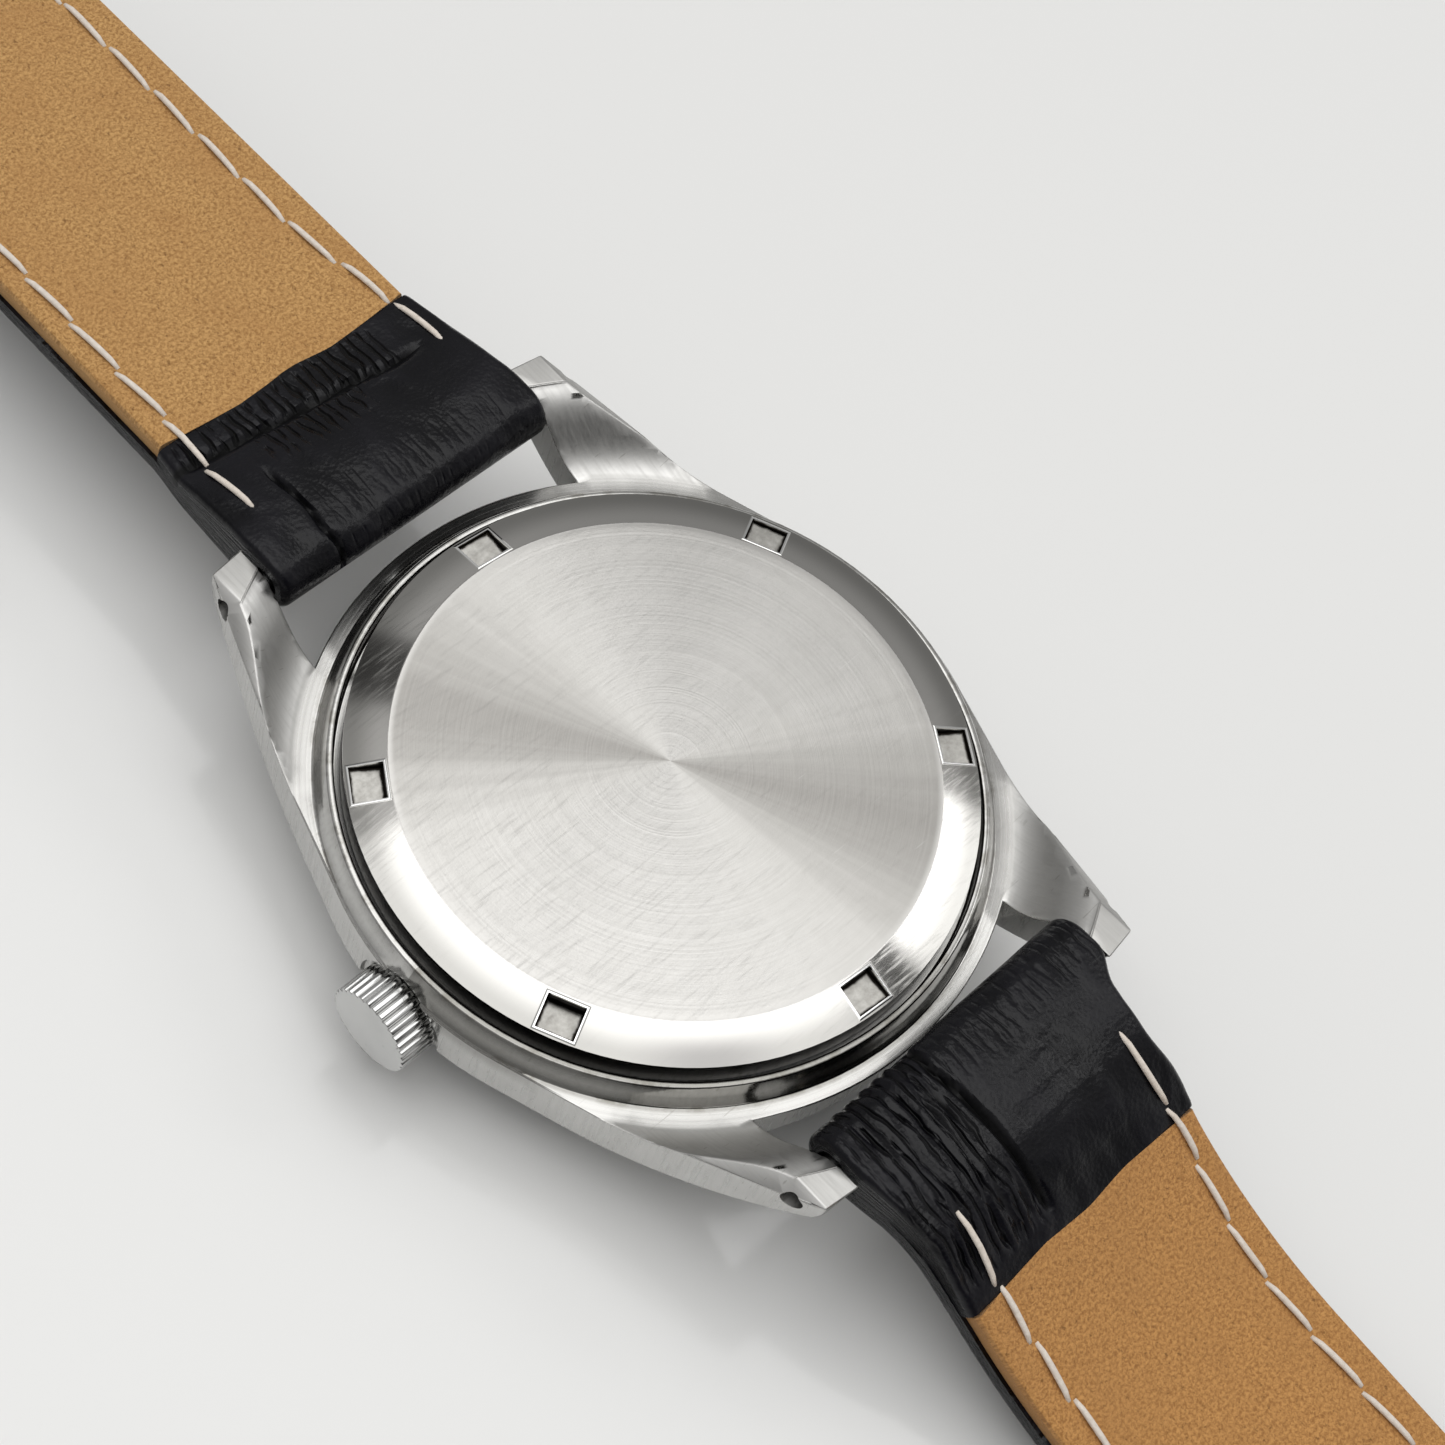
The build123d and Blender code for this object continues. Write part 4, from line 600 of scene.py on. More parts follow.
def creaseDepth(x, reach, side):  # depth of the folds, and share of fine ribs
    wave = noise.noise(Vector((x * 0.35, reach * 0.35, side * 7)))
    bend = noise.noise(Vector((x * 0.8, reach * 0.45, side * 3 + 1)))
    border = between(reach, strap["border"] - 0.1, strap["border"] - 0.9)
    depth, ribs, folds = creases12(x, reach, wave) if side > 0 else creases6(x, reach, wave, bend)
    return (depth + folds) * border + creases["fine"]["waviness"] * wave, min(ribs, 1.0) * border


def rowInset(half, x, reach):  # border to seam: one seam draws away from its border past the flap
    return half["rows"][0] if x < 0 else half["rows"][1] + half["spread"] * between(reach, 27.5, 36)


def tucked(half, x, reach):  # the border is drawn in on one side, near the bar
    return half["tuck"] * band(reach, (20.6, 22.6), (28.4, 25.0)) if x > 0 else 0.0


def leatherSlab(half, spots):
    form = strap
    flapEnd = form["flapRows"]
    lengths = lengthsAlong(spots)
    barSpot = Vector((form["barReach"], form["barHeight"]))
    bm = flatSlab(form["columns"], len(spots) - 1)

    def spotOf(co):
        index = int(round(co.y * (len(spots) - 1)))
        outer, inner = spots[index]
        width = halfWidth(half, max(outer.x, form["barReach"]))
        if index <= flapEnd:
            width -= tucked(half, co.x, outer.x)
        return index, outer, inner, width, width * towardsEdge(co.x, form["crowding"])

    def creased(index, x, outer):
        if index > flapEnd + form["creasedRows"]:
            return 0.0, 0.0
        return creaseDepth(x, outer.x if index <= flapEnd else form["mirror"] - outer.x, half["side"])

    def planOf(co):
        index, outer, inner, width, x = spotOf(co)
        return (x + (form["otherSide"] if co.z > 0.5 else 0), lengths[index])

    def placeOf(co):
        index, outer, inner, width, x = spotOf(co)
        fromBorder = width - abs(x)
        if co.z < 0.5:
            drop = edgeDrop(fromBorder, form["edgeRound"]) + (0.05 if index == 0 else 0)
            drop += creased(index, x, outer)[0] * between(fromBorder, 0, 1.2)
            spot = outer - (outer - inner).normalized() * min(drop, (outer - inner).length * 0.6)
        else:
            spot = inner
            if flapEnd <= index <= flapEnd + form["loopRows"]:  # the bore closes on the bar at its ends
                spot = inner.lerp(barSpot, 0.16 * between(-fromBorder, -0.7, -0.2))
        return Vector((x, half["side"] * spot.x, spot.y))

    pressed = bm.verts.layers.float.new("pressed")
    ribbed = bm.verts.layers.float.new("ribbed")
    for vert in bm.verts:
        if vert.co.z < 0.5:
            index, outer, inner, width, x = spotOf(vert.co)
            depth, vert[ribbed] = creased(index, x, outer)
            vert[pressed] = between(depth, 0.1, 0.34)
    wrapSlab(bm, planOf, placeOf)
    return bm


def liningSlab(half, last):
    form, lining = strap, liningForm
    first = form["border"] - form["leave"]
    bm = flatSlab(lining["columns"], int((last - first) / lining["spacing"]))

    def spotOf(co):
        distance = first + (last - first) * co.y
        width = halfWidth(half, followRuns(half["runs"], distance)[0]) - lining["inset"]
        x = width * towardsEdge(co.x, lining["crowding"])
        if co.y < 0.001:
            distance += lining["bow"] * (abs(x) / width) ** 2 - lining["start"]
        return distance, width, x

    def planOf(co):
        distance, width, x = spotOf(co)
        return (x + (form["otherSide"] if co.z < 0.5 else 0), distance)

    def placeOf(co):
        distance, width, x = spotOf(co)
        ends = min(distance - first + lining["start"], last - distance)
        drop = max(edgeDrop(width - abs(x), lining["edgeRound"]), edgeDrop(ends, lining["endRound"]))
        reach = followRuns(half["runs"], distance)[0]
        fromSeam = width + lining["inset"] - abs(x) - rowInset(half, x, reach)
        pull = 0.75 + 0.25 * cos(2 * pi * distance / stitches["pitch"])
        drop += lining["seamDepth"] * dent(fromSeam, lining["seamWidth"]) * pull
        lift = form["whole"] + lining["lift"] - drop if co.z > 0.5 else form["leather"] - 0.02
        spot = lifted(half, distance, lift)
        return Vector((x, half["side"] * spot.x, spot.y))

    wrapSlab(bm, planOf, placeOf)
    return bm


def pierce(piece, addShapes):  # cuts plain shapes out of a finished piece
    bm = bmesh.new()
    addShapes(bm)
    cutter = meshObject(inMetres(bm), "cutter")
    modifier = piece.modifiers.new("cut", "BOOLEAN")
    modifier.operation = "DIFFERENCE"
    modifier.solver = "EXACT"
    modifier.object = cutter
    cutMesh = bpy.data.meshes.new_from_object(piece.evaluated_get(bpy.context.evaluated_depsgraph_get()))
    piece.modifiers.clear()
    piece.data = cutMesh
    bpy.data.objects.remove(cutter)
    print(piece.name, "pierced,", len(cutMesh.polygons), "faces")


def tongueSlot(bm):
    made = bmesh.ops.create_cube(bm, size=1)["verts"]
    bmesh.ops.scale(bm, verts=made, vec=buckleLoop["slot"])
    bmesh.ops.translate(bm, verts=made, vec=(0, half12["buckleBar"], buckleLoop["slotMiddle"]))


def strapHoles(bm):
    form = strap
    for index in range(form["holes"]):
        made = bmesh.ops.create_cone(bm, cap_ends=True, segments=28, depth=9,
                radius1=form["holeRadius"], radius2=form["holeRadius"])["verts"]
        bmesh.ops.translate(bm, verts=made, vec=(0, -form["firstHole"] - form["holePitch"] * index, 2.0))


def buckleSection(spots):  # the leather goes round the buckle's bar and back on itself
    loop = buckleLoop
    bar = half12["buckleBar"]
    sectionTo(half12, spots, distanceAt(half12, bar - loop["before"]), 0.9)
    spots += loopSection(bar, half12["buckleHeight"], loop["outer"], loop["bore"], -90, 90, loop["rows"])
    for step in range(1, loop["backRows"] + 1):
        reach = bar - loop["back"] * step / loop["backRows"]
        top = loop["top"] + loop["topRise"] * between(reach, bar - 3, bar)
        under = loop["under"] + loop["underRise"] * between(reach, bar - 2, bar)
        spots.append((Vector((reach, top)), Vector((reach, under))))


def finishLayer(half, bm, layer, material):  # the layer is Leather or Lining
    name, node = half["body"].replace("_", "") + layer, half["body"] + "_" + layer.lower()
    return finishPiece(bm, name, material, half["body"], [node])


def makeStraps():
    spots = leatherSection(half12)
    buckleSection(spots)
    leather = finishLayer(half12, leatherSlab(half12, spots), "Leather", leatherFinish)
    pierce(leather, tongueSlot)
    last = distanceAt(half12, half12["buckleBar"] - buckleLoop["back"])
    finishLayer(half12, liningSlab(half12, last), "Lining", suede12)

    spots = leatherSection(half6)
    last = distanceAt(half6, half6["tip"])
    sectionTo(half6, spots, last, 0.8)
    leather = finishLayer(half6, leatherSlab(half6, spots), "Leather", leatherFinish)
    lining = finishLayer(half6, liningSlab(half6, last), "Lining", suede6)
    pierce(leather, strapHoles)
    pierce(lining, strapHoles)


makeStraps()
print("stage 4: strap halves")


# stitches, each a short length of thread laid along the strap

def topLift(reach):  # height of the wrist side above the underside
    return strap["whole"] + liningForm["lift"] if reach > strap["border"] else flapHeight(reach)


def addStitch(bm, half, sign, onTop, begin, length, slant):
    thick = stitches["thick"]
    made = bmesh.ops.create_uvsphere(bm, u_segments=8, v_segments=9, radius=1)
    for vert in made["verts"]:
        along = vert.co.z
        full = copysign(min(abs(along) * 1.35, 1), along)
        around = max((1 - abs(along) ** 3), 0) ** 0.55 / max((1 - along * along) ** 0.5, 0.2)
        distance = begin + length * (0.5 + 0.5 * full)
        reach = followRuns(half["runs"], distance)[0]
        x = halfWidth(half, reach) - rowInset(half, sign, reach) - (tucked(half, sign, reach) if onTop else 0)
        x += vert.co.x * around * thick * 1.1 + slant * full
        lift = vert.co.y * around * thick + thick * (0.75 - 1.55 * full ** 4)  # arched, with its ends sunk
        spot = lifted(half, distance, topLift(reach) + lift if onTop else -lift)
        vert.co = Vector((sign * x, half["side"] * spot.x, spot.y))


def makeStitches(half, name):
    bm = bmesh.new()
    last = distanceAt(half, half["seamEnd"])
    for rowIndex, sign in enumerate((-1, 1)):
        first = half["starts"][rowIndex] - strap["leave"]
        for face in (1, -1):  # wrist side, then outer side
            for index in range(int((last - first - stitches["clear"]) / stitches["pitch"])):
                seed = Vector((index * 3.7, rowIndex * 11.3, face * 5.1))
                begin = first + index * stitches["pitch"] + 0.12 * noise.noise(seed)
                if face < 0:
                    begin += stitches["pitch"] / 2
                length = stitches["length"] + 0.2 * noise.noise(seed * 2.1)
                slant = stitches["slant"] * (1 + noise.noise(seed * 3.3))
                addStitch(bm, half, sign, face > 0, begin, length, slant)
    bmesh.ops.recalc_face_normals(bm, faces=bm.faces[:])
    finishPiece(bm, name, threadFinish, half["body"], smoothAngle=80)


makeStitches(half12, "strap12Stitches")
makeStitches(half6, "strap6Stitches")
print("stage 5: stitches")


# keepers: leather bands bent round the strap

keepers = {
    "fixed": {"node": "fixed_keeper", "body": "strap_12", "middle": 90.6},
    "free": {"node": "free_keeper", "body": "free_keeper", "middle": 83.6},
    "width": 5.0, "half": 8.35, "low": 1.05, "high": 5.85, "wall": 0.9, "corner": 0.5, "cornerSteps": 8,
    "columns": 22, "crowding": 1.5, "spacing": 0.6, "edgeRound": 0.35,
    "lineAt": 1.75, "lineDepth": 0.07, "lineWidth": 0.12,  # the pressed line near each edge
}


def keeperSection(values):
    corner, wall, half = values["corner"], values["wall"], values["half"]
    spots = []
    for x, z, start in ((half, values["high"], 0), (-half, values["high"], 90),
            (-half, values["low"], 180), (half, values["low"], 270)):
        middle = Vector((x - copysign(corner, x), z + (corner if z == values["low"] else -corner)))
        for step in range(values["cornerSteps"] + 1):
            angle = radians(start + 90 * step / values["cornerSteps"])
            way = Vector((cos(angle), sin(angle)))
            spots.append((middle + (corner + wall) * way, middle + corner * way))
    dense = []
    for (outer, inner), (nextOuter, nextInner) in zip(spots, spots[1:] + spots[:1]):
        pieces = max(1, round((nextOuter - outer).length / values["spacing"]))
        for step in range(pieces):
            dense.append((outer.lerp(nextOuter, step / pieces), inner.lerp(nextInner, step / pieces)))
    return dense + dense[:1]


def makeKeeper(name, values):
    spots = keeperSection(keepers)
    lengths = lengthsAlong(spots)
    rows = len(spots) - 1
    bm = flatSlab(keepers["columns"], rows)
    ends = [face for face in bm.faces if max(vert.co.y for vert in face.verts) < 0.0001
            or min(vert.co.y for vert in face.verts) > 0.9999]
    bmesh.ops.delete(bm, geom=ends, context="FACES_ONLY")

    def acrossOf(co):
        return keepers["width"] / 2 * towardsEdge(co.x, keepers["crowding"])

    def planOf(co):
        return (acrossOf(co) + (strap["otherSide"] if co.z > 0.5 else 0), lengths[int(round(co.y * rows))])

    def placeOf(co):
        outer, spot = spots[int(round(co.y * rows))]
        across = acrossOf(co)
        if co.z < 0.5:
            drop = edgeDrop(keepers["width"] / 2 - abs(across), keepers["edgeRound"])
            drop += keepers["lineDepth"] * dent(abs(across) - keepers["lineAt"], keepers["lineWidth"])
            spot = outer - (outer - spot).normalized() * drop
        return Vector((spot.x, values["middle"] + across, spot.y))

    wrapSlab(bm, planOf, placeOf)
    bmesh.ops.remove_doubles(bm, verts=bm.verts[:], dist=0.0005)
    bmesh.ops.recalc_face_normals(bm, faces=bm.faces[:])
    finishPiece(bm, name, leatherFinish, values["body"], [values["node"]], smoothAngle=50)


makeKeeper("fixedKeeper", keepers["fixed"])
makeKeeper("freeKeeper", keepers["free"])
print("stage 6: keepers")


# steel

def layered(tone, *layers):  # colours laid over each other, each through its mask
    for mask, colour in layers:
        tone = blend(mask, tone, colour)
    return tone


def metal(colour, rough, bump, **others):  # the others may take the place of the first four
    return {"Base Color": colour, "Metallic": 1.0, "Roughness": rough, "Normal": bump, **others}


backForm = {
    "flat": 13.74, "rim": 15.85, "top": 10.1, "fall": 0.55,  # the ring slopes down from the flat disc to the rim
    "firstSlot": 85.5, "slotInner": 13.95, "slotOuter": 15.6, "slotHalf": 0.975,
}
backLook = {
    "discDark": (0.5, 0.49, 0.465), "disc": (0.58, 0.57, 0.55), "line": (0.42, 0.41, 0.385),
    "paintedFanAt": 126, "paintedFanHighlight": (0.66, 0.65, 0.63), "paintedFanShade": (0.29, 0.28, 0.265), "hair": (0.85, 0.85, 0.84),
    "ringReflectInner": (0.53, 0.52, 0.5), "ringReflectOuter": (0.32, 0.315, 0.3), "ringFrom": 14.0, "ringTo": 15.6,
    "paintedStreakAt": -127, "paintedStreak": (0.22, 0.215, 0.21), "paintedShade": (0.012, 0.01, 0.008),
    "floorDark": (0.2, 0.19, 0.17), "floor": (0.62, 0.61, 0.58), "burr": (0.78, 0.78, 0.77),
    "discRough": 0.34, "ringRough": 0.09, "floorRough": 0.3, "anisotropy": 0.9,
}


def caseBackSteel():  # spun disc with a painted highlight fan, polished sloping ring with painted reflection, rough slot floors with painted shade by their walls
    form, look = backForm, backLook
    spot = place()
    radius, around = roundAxis(spot)
    x, y, height = parts(spot)
    angle = maths("ARCTAN2", y, x)
    disc = spread(radius, form["flat"] + 0.03, form["flat"] - 0.35)
    slope = spread(radius, form["flat"], form["rim"], 0.0, form["fall"], "LINEAR")
    sunk = spread(plus(height, slope), form["top"] - 0.1, form["top"] - 0.22)
    turn = plus(angle, radians(390 - form["firstSlot"]))  # folds the six slots onto one
    folded = minus(maths("FLOORED_MODULO", turn, pi / 3), pi / 6)
    aside = unsigned(times(radius, maths("SINE", folded)))
    out = times(radius, maths("COSINE", folded))
    fromEnds = maths("MINIMUM", minus(out, form["slotInner"]), minus(form["slotOuter"], out))
    fromWall = maths("MINIMUM", minus(form["slotHalf"], aside), fromEnds)
    lines = lined(radius, 7.0, 5.0, 0.8)
    broad = lined(radius, 0.9, 2.0)
    rays = grain(joined(times(angle, 9.0), times(radius, 0.02), 0.0), 1.0, 3.0, 0.6)
    scuffs = streaks(spot, (0.5, 6.0, 1.0), 4.0, 0.6, turn=0.7)
    hairs = streaks(spot, (0.25, 7.0, 1.0), 2.0, 0.5, turn=2.1)
    # painted highlight: a light fan and a dark fan over the spun disc stand in for its reflection
    paintedFan = unsigned(maths("SINE", minus(angle, radians(look["paintedFanAt"]))))
    paintedFan = plus(paintedFan, times(minus(rays, 0.5), 0.4))
    tone = blend(grain(spot, 0.35, 4.0), look["discDark"], look["disc"])
    tone = layered(tone, (spread(paintedFan, 0.45, 1.05, 0.0, 0.5), look["paintedFanHighlight"]),
            (spread(paintedFan, 0.65, 0.0), look["paintedFanShade"]),
            (spread(lines, 0.35, 0.65, 0, 0.35), look["line"]),
            (spread(hairs, 0.7, 0.76, 0, 0.15), look["hair"]))
    # painted reflection: the polished ring darker towards its outer edge
    ringReflectFade = spread(radius, look["ringFrom"], look["ringTo"])
    tone = blend(disc, blend(ringReflectFade, look["ringReflectInner"], look["ringReflectOuter"]), tone)
    # painted reflection: a dark streak across the ring
    fromPaintedStreak = unsigned(minus(angle, radians(look["paintedStreakAt"])))
    paintedStreak = times(spread(fromPaintedStreak, 0.3, 0.02), spread(radius, look["ringFrom"], 15.4))
    ragged = plus(fromWall, times(grain(spot, 1.6, 3.0, 0.6), -0.22))
    burr = times(spread(fromWall, -0.16, -0.06), minus(1.0, sunk))
    floorTone = blend(grain(spot, 2.6, 4.0, 0.7), look["floorDark"], look["floor"])
    # over the painted streak: the slot floors, painted shade along the foot of the slot walls, and the light burrs
    tone = layered(tone, (times(paintedStreak, 0.8), look["paintedStreak"]), (sunk, floorTone),
            (times(sunk, spread(ragged, 0.1, -0.04)), look["paintedShade"]), (burr, look["burr"]))
    edge = spread(radius, form["flat"] - 0.02, form["flat"] + 0.08, look["discRough"], look["ringRough"])
    rough = plus(edge, spread(scuffs, 0.45, 0.8, -0.02, 0.1), times(sunk, look["floorRough"]))
    bump = relief(times(lines, disc), 0.35, 0.02)
    bump = relief(times(broad, disc), 0.15, 0.06, bump)
    bump = relief(burr, 0.5, 0.08, bump)
    bump = relief(scuffs, 0.05, 0.02, bump)
    return metal(tone, rough, bump, Anisotropic=look["anisotropy"], Tangent=around)


caseLook = {
    "dark": (0.46, 0.455, 0.44), "light": (0.64, 0.635, 0.62), "line": (0.4, 0.395, 0.38),
    "grime": (0.13, 0.115, 0.085), "scratch": (0.24, 0.23, 0.21), "paintedTopShade": (0.3, 0.295, 0.28),
    "shaded": (0.1, 0.095, 0.08), "shadedSide": -135,  # between the crown and the strap
    "stepInner": (15.9, 16.2), "stepOuter": (17.5, 17.1), "stepHeight": (6.5, 7.5), "lugsFrom": (17.9, 18.3),
    "rough": (0.2, 0.3), "lugRough": 0.2, "stepPolish": 0.1,
}


def caseSteel():  # upright lines on the flanks, turned rings by the back, long strokes on the lugs; painted shade on faces that look straight up and on the step by the crown
    look = caseLook
    spot = place()
    radius = roundAxis(spot)[0]
    x, y, height = parts(spot)
    upwards = facing(2)
    level = spread(unsigned(upwards), 0.45, 0.7)
    onLug = spread(radius, *look["lugsFrom"])
    step = times(spread(radius, *look["stepInner"]), spread(radius, *look["stepOuter"]),
            spread(height, *look["stepHeight"]))  # only round the case back
    turned = lined(radius, 6.0, 4.0, 0.7)
    strokes = streaks(spot, (6.0, 0.25, 1.0), 5.0, 0.6, turn=0.15)
    upright = streaks(spot, (4.5, 4.5, 0.25), 5.0, 0.6)
    lines = blend(level, upright, blend(onLug, turned, strokes))
    scratch = streaks(spot, (0.35, 8.0, 2.0), 2.0, 0.5, turn=0.9)
    grime = times(spread(grain(spot, 0.8, 4.0, 0.65), 0.45, 0.65), level, step, 0.6)
    fromSide = unsigned(minus(maths("ARCTAN2", y, x), radians(look["shadedSide"])))
    shaded = times(step, spread(fromSide, radians(75), radians(40)), 0.6)
    tone = blend(grain(spot, 0.22, 3.0), look["dark"], look["light"])
    # painted shade: faces looking straight up are darker, and the step is darker between the crown and the strap
    tone = layered(tone, (spread(lines, 0.4, 0.7, 0, 0.3), look["line"]), (grime, look["grime"]),
            (spread(scratch, 0.7, 0.74, 0, 0.45), look["scratch"]),
            (times(spread(upwards, 0.93, 0.99), 0.45), look["paintedTopShade"]), (shaded, look["shaded"]))
    rough = plus(spread(lines, 0.3, 0.7, *look["rough"]), times(onLug, level, look["lugRough"]))
    rough = minus(rough, times(step, look["stepPolish"]))
    bump = relief(scratch, 0.06, 0.03, relief(lines, 0.2, 0.02))
    return metal(tone, rough, bump)


crownLook = {"dark": (0.5, 0.505, 0.5), "light": (0.64, 0.64, 0.63), "paintedShade": (0.03, 0.027, 0.024),
        "pit": (0.12, 0.11, 0.1), "rough": (0.12, 0.24)}


def crownSteel():  # bright on the teeth, painted shade down between them
    look = crownLook
    low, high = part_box("crown")
    spot = place()
    middle = (0, -(low[1] + high[1]) / 2 / mm, -(low[2] + high[2]) / 2 / mm)
    y, z = parts(moved(spot, middle))[1:]
    radius = maths("SQRT", plus(times(y, y), times(z, z)))
    outer = (high[2] - low[2]) / 2 / mm
    sideways = unsigned(facing(0))
    # painted shade: dark down between the teeth
    down = times(spread(radius, outer - 0.05, outer - 0.2), spread(sideways, 0.6, 0.3))
    clouds = grain(spot, 0.8, 4.0)
    pits = grain(spot, 3.0, 3.0, 0.6)
    tone = layered(blend(clouds, look["dark"], look["light"]), (down, look["paintedShade"]),
            (spread(pits, 0.68, 0.73, 0, 0.7), look["pit"]))
    return metal(tone, spread(clouds, 0.3, 0.7, *look["rough"]), relief(pits, 0.15, 0.04))


barLook = {"dark": (0.48, 0.48, 0.47), "light": (0.62, 0.62, 0.61), "paintedShade": (0.02, 0.018, 0.015),
        "inLug": (9.2, 9.6), "rough": 0.26, "inLugRough": 0.4}


def barSteel():  # turned, with painted shade on the ends that sit in the lugs
    look = barLook
    x = unsigned(parts(place())[0])
    rings = lined(x, 6.0, 4.0)
    inLug = spread(x, *look["inLug"])
    # painted shade: the ends inside the lug holes are dark and not metallic
    tone = blend(inLug, blend(rings, look["dark"], look["light"]), look["paintedShade"])
    rough = plus(look["rough"], times(inLug, look["inLugRough"]))
    return metal(tone, rough, relief(rings, 0.2, 0.02), Metallic=minus(1.0, inLug))


def shades(base, down, up):  # a darker and a lighter one
    return tuple(part * down for part in base), tuple(min(part * up, 1) for part in base)


def satinSteel(base, rough, lines, depth, pitted):
    spot = place()
    brushed = streaks(spot, lines, 5.0, 0.65)
    clouds = grain(spot, 0.45, 4.0)
    pits = grain(spot, 3.0, 3.0, 0.6)
    dark, light = shades(base, 0.86, 1.08)
    tone = layered(blend(clouds, dark, light), (spread(brushed, 0.4, 0.7, 0, 0.3), dark),
            (spread(pits, 0.7, 0.76, 0, pitted), (0.16, 0.14, 0.12)))
    bump = relief(clouds, 0.08, 0.15, relief(brushed, depth, 0.03))
    return metal(tone, spread(brushed, 0.3, 0.7, rough - 0.06, rough + 0.08), bump)


def roundBrushed(base, rough, centre):  # turned about an upright axis
    spot = place()
    radius, around = roundAxis(spot, centre)
    clouds = grain(spot, 0.6, 3.0)
    dark, light = shades(base, 0.85, 1.1)
    bump = relief(lined(radius, 5.0, 4.0, 0.7), 0.3, 0.02)
    rough = spread(clouds, 0.3, 0.7, rough - 0.05, rough + 0.08)
    return metal(blend(clouds, dark, light), rough, bump, Anisotropic=0.6, Tangent=around)


def dress(material, *names):
    for name in names:
        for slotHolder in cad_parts[name].material_slots:
            slotHolder.material = material


rounding = {"merge": 0.002, "flat": 0.6, "sharp": 24, "segments": 2, "barX": 7.5, "barRadius": 0.8}  # degrees, mm


def byBar(spot):  # inside a spring bar hole of a lug
    aside = hypot(abs(spot.y) - strap["barReach"], spot.z - strap["barHeight"])
    return abs(spot.x) > rounding["barX"] and aside < rounding["barRadius"]


def soften(source, name, material, body, width):  # a merged copy with its edges rounded
    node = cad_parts[source]
    bm = bmesh.new()
    bm.from_mesh(node.data)
    bm.transform(node.matrix_world)
    bmesh.ops.scale(bm, verts=bm.verts[:], vec=(1 / mm, 1 / mm, 1 / mm))
    bmesh.ops.remove_doubles(bm, verts=bm.verts[:], dist=rounding["merge"])
    flat = radians(rounding["flat"])
    bmesh.ops.dissolve_limit(bm, angle_limit=flat, verts=bm.verts[:], edges=bm.edges[:])
    bmesh.ops.triangulate(bm, faces=bm.faces[:])
    sharp = [edge for edge in bm.edges if edge.is_manifold
            and edge.calc_face_angle(0) > radians(rounding["sharp"])
            and not all(byBar(vert.co) for vert in edge.verts)]
    bmesh.ops.bevel(bm, geom=sharp, offset=width, offset_type="OFFSET", segments=rounding["segments"],
            profile=0.5, affect="EDGES", clamp_overlap=False, material=-1)
    openEdges = sum(1 for edge in bm.edges if not edge.is_manifold)
    print(name, "rounded,", len(sharp), "edges,", len(bm.faces), "faces, open", openEdges)
    piece = finishPiece(bm, name, material, body, [source])
    weighted = piece.modifiers.new("flatFaces", "WEIGHTED_NORMAL")
    weighted.weight = 100
    weighted.keep_sharp = True


polished = makeFinish(satinSteel, (0.66, 0.66, 0.65), 0.15, (1.2, 1.2, 1.2), 0.05, 0.2, name="brightSteel")
dress(makeFinish(caseBackSteel), "case_back")
soften("mid_case", "roundedCase", makeFinish(caseSteel), "case", 0.09)
soften("crown", "roundedCrown", makeFinish(crownSteel), "crown_and_stem", 0.05)
soften("bezel", "roundedBezel", polished, "case", 0.05)
soften("buckle_frame", "roundedBuckle", polished, "buckle", 0.08)
dress(polished, "buckle_bar", "buckle_tongue")
dress(makeFinish(barSteel), "spring_bar_12", "spring_bar_6")
print("stage 7: steel")


# crystal, dial, hands and movement

crystalLook = {"colour": (0.97, 0.98, 0.98), "ior": 1.49}


def clearCrystal():
    marks = streaks(place(), (0.6, 7.0, 1.0), 4.0, 0.7, turn=0.5)
    return {"Base Color": crystalLook["colour"], "Transmission Weight": 1.0, "IOR": crystalLook["ior"],
            "Roughness": spread(marks, 0.6, 0.8, 0.01, 0.16), "Normal": relief(marks, 0.03, 0.02)}


dialLook = {"dark": (0.62, 0.61, 0.57), "silver": (0.8, 0.79, 0.75), "ink": (0.02, 0.02, 0.02),
        "trackInner": (12.62, 12.66), "trackOuter": (13.34, 13.3), "rimInner": (13.3, 13.33),
        "rimOuter": (13.43, 13.4), "mark": (0.11, 0.06), "metal": 0.85, "rough": (0.3, 0.42)}


def sunrayDial():  # silvered, brushed from the middle, with a printed minute track
    look = dialLook
    spot = place()
    radius = roundAxis(spot)[0]
    x, y = parts(spot)[:2]
    angle = maths("ARCTAN2", y, x)
    rays = lined(angle, 38.0, 4.0, 0.7)
    minutes = unsigned(maths("SINE", times(angle, 30.0)))
    aside = times(minutes, maths("DIVIDE", radius, 30.0))  # distance from the nearest minute
    inTrack = times(spread(radius, *look["trackInner"]), spread(radius, *look["trackOuter"]))
    rim = times(spread(radius, *look["rimInner"]), spread(radius, *look["rimOuter"]))
    marks = times(spread(aside, *look["mark"]), inTrack)
    ink = maths("MINIMUM", plus(marks, rim), 1.0)
    silver = blend(rays, look["dark"], look["silver"])
    bare = minus(look["metal"], times(ink, look["metal"]))
    rough = spread(rays, 0.3, 0.7, *look["rough"])
    return metal(blend(ink, silver, look["ink"]), rough, relief(rays, 0.2, 0.015), Metallic=bare)


bridgeLook = {"dark": (0.33, 0.33, 0.325), "light": (0.5, 0.5, 0.485), "line": (0.3, 0.3, 0.29),
        "stripes": 1.7, "turn": 0.6, "rough": (0.2, 0.36)}


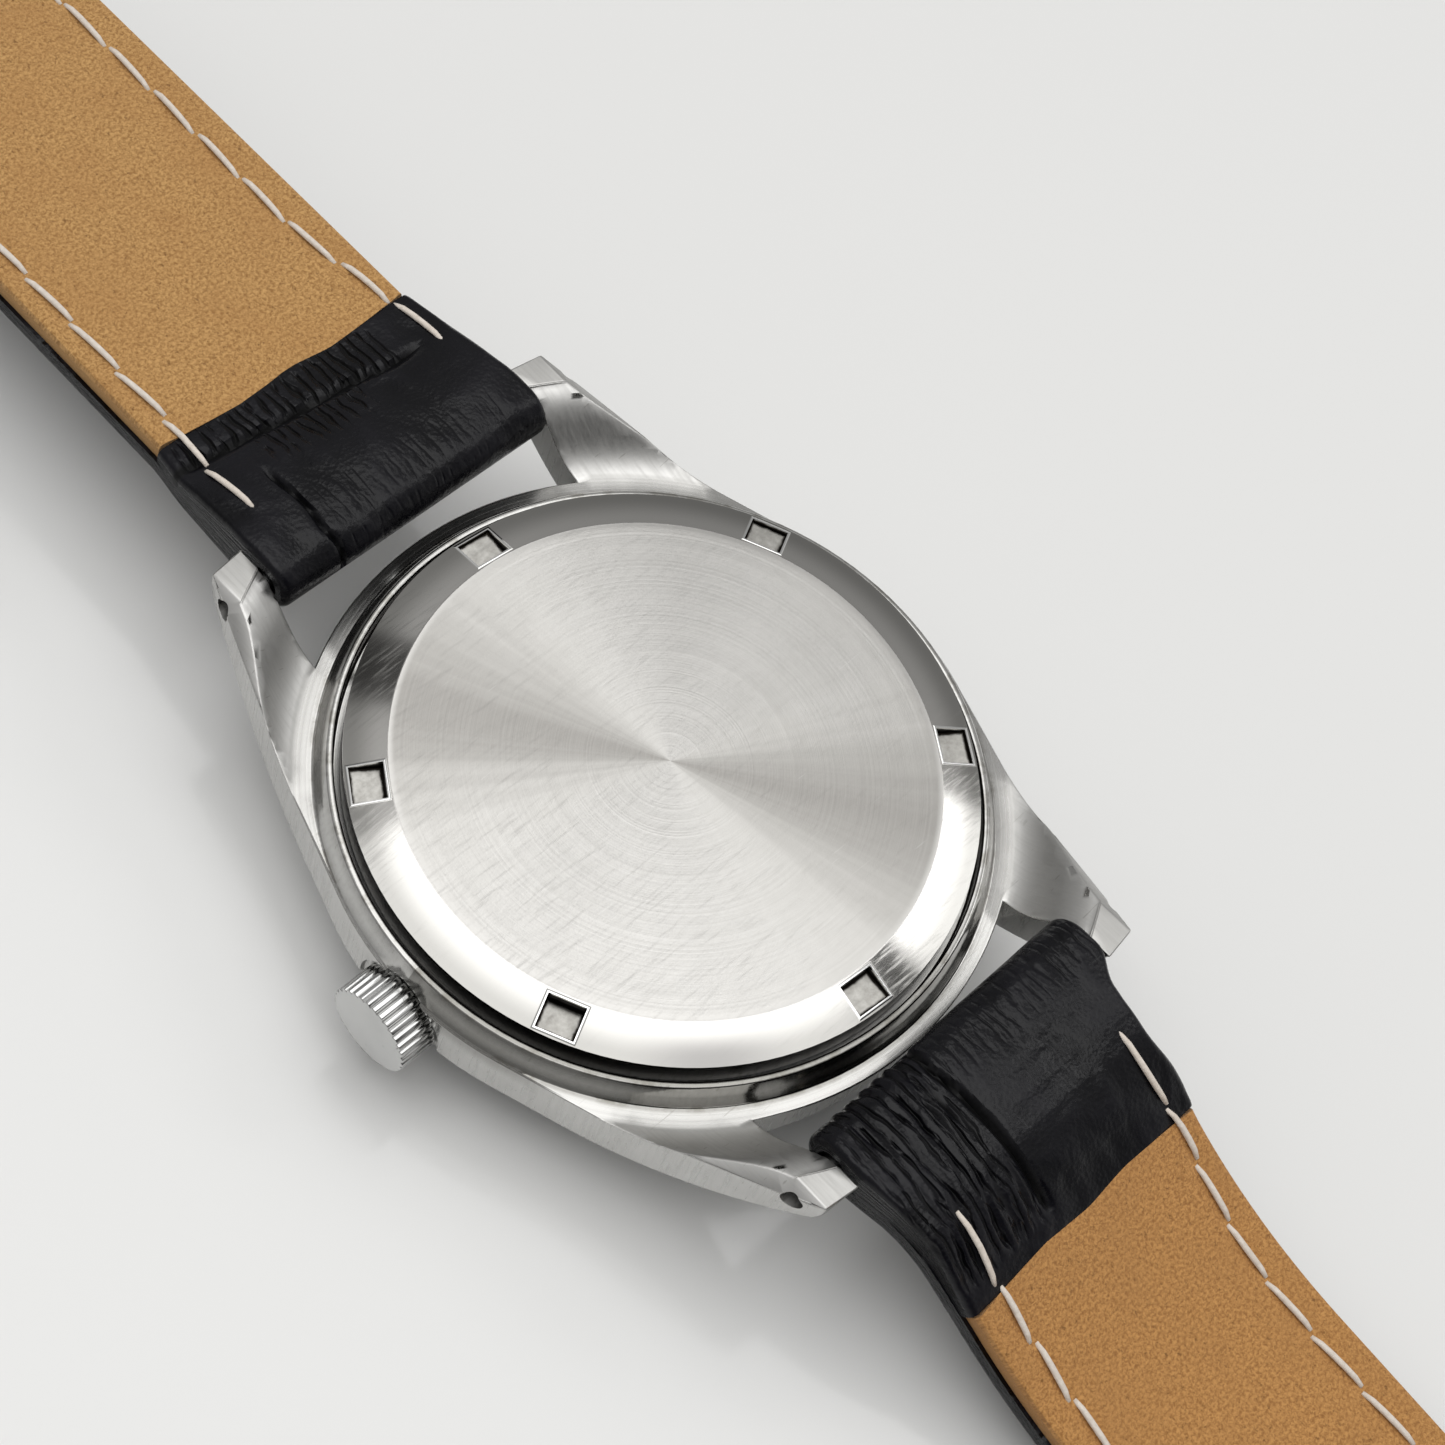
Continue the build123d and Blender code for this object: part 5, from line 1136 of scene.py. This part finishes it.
def stripedBridge():  # rhodium plated, with broad straight stripes
    look = bridgeLook
    spot = place()
    x = parts(moved(spot, turn=look["turn"]))[0]
    stripes = unsigned(maths("SINE", times(x, look["stripes"])))
    fine = streaks(spot, (1.0, 9.0, 1.0), 4.0, 0.6, turn=look["turn"])
    tone = blend(stripes, look["dark"], look["light"])
    tone = blend(spread(fine, 0.4, 0.7, 0, 0.3), tone, look["line"])
    bump = relief(fine, 0.2, 0.02, relief(stripes, 0.25, 0.05))
    return metal(tone, spread(stripes, 0, 1, *look["rough"], "LINEAR"), bump)


plateLook = {"light": (0.46, 0.455, 0.44), "dark": (0.31, 0.31, 0.3), "waves": 46.0, "rough": (0.24, 0.34)}


def grainedPlate():  # overlapping turned spots
    look = plateLook
    rings = cells(place(), (0.8, 0.8, 0.05), "F1", 0.12)
    waves = maths("SINE", times(rings, look["waves"]))
    tone = blend(rings, look["light"], look["dark"])
    return metal(tone, spread(waves, -1, 1, *look["rough"]), relief(waves, 0.25, 0.02))


rubyLook = {"dark": (0.34, 0.008, 0.035), "light": (0.6, 0.02, 0.09), "rough": 0.06, "coat": 0.6}
rubberLook = {"dark": (0.008, 0.008, 0.008), "light": (0.022, 0.021, 0.02), "rough": (0.55, 0.75)}


def ruby():
    clouds = grain(place(), 3.0, 3.0)
    return {"Base Color": blend(clouds, rubyLook["dark"], rubyLook["light"]),
            "Roughness": rubyLook["rough"], "Coat Weight": rubyLook["coat"]}


def blackRubber():
    fine = grain(place(), 6.0, 4.0)
    return {"Base Color": blend(fine, rubberLook["dark"], rubberLook["light"]),
            "Roughness": spread(fine, 0.3, 0.7, *rubberLook["rough"]), "Normal": relief(fine, 0.3, 0.04)}


def wheelCentre(name):
    low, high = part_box(name)
    return (low[0] + high[0]) / 2 / mm, (low[1] + high[1]) / 2 / mm


plainFinishes = {
    clearCrystal: ["crystal"],
    sunrayDial: ["dial"],
    blackRubber: ["crown_gasket", "case_back_gasket"],
    grainedPlate: ["main_plate", "movement_ring"],
    stripedBridge: ["barrel_bridge", "train_bridge", "balance_cock", "pallet_bridge"],
    ruby: ["jewels"],
}
wheelFinishes = {  # colour, roughness, nodes, each turned about its own axis
    "gilt": ((0.56, 0.38, 0.15), 0.27, ["centre_wheel", "third_wheel", "fourth_wheel", "escape_wheel", "barrel",
            "barrel_cover", "hour_wheel", "minute_wheel", "balance_wheel"]),
    "sunray": ((0.42, 0.42, 0.42), 0.24, ["crown_wheel", "ratchet_wheel", "tension_ring"]),
}
satinFinishes = {  # colour, roughness, stretch and depth of the brushed lines, share of pits, nodes
    "turnedSteel": ((0.55, 0.55, 0.54), 0.28, (6, 0.4, 6), 0.2, 0.1,
            ["crown_tube", "winding_stem", "clutch_wheel", "winding_pinion", "setting_lever"]),
    "blackPolish": ((0.3, 0.31, 0.34), 0.14, (2, 2, 2), 0.05, 0.0,
            ["bridge_screws", "click", "pallet_fork", "barrel_arbor", "balance_staff", "cannon_pinion"]),
    "bluedSteel": ((0.035, 0.06, 0.22), 0.22, (2, 2, 2), 0.05, 0.0, ["hairspring"]),
    "springSteel": ((0.33, 0.34, 0.37), 0.25, (2, 2, 6), 0.1, 0.0, ["mainspring"]),
    "handSteel": ((0.7, 0.7, 0.69), 0.12, (1, 8, 1), 0.08, 0.0, ["hour_hand", "minute_hand", "hour_markers"]),
    "thinHandSteel": ((0.3, 0.3, 0.32), 0.2, (1, 8, 1), 0.08, 0.0, ["seconds_hand"]),
}
for recipe, names in plainFinishes.items():
    dress(makeFinish(recipe), *names)
for finish, (base, rough, names) in wheelFinishes.items():
    for name in names:
        dress(makeFinish(roundBrushed, base, rough, wheelCentre(name), name=finish + "_" + name), name)
for finish, (base, rough, lines, depth, pitted, names) in satinFinishes.items():
    dress(makeFinish(satinSteel, base, rough, lines, depth, pitted, name=finish), *names)
print("stage 8: crystal, dial, hands and movement")
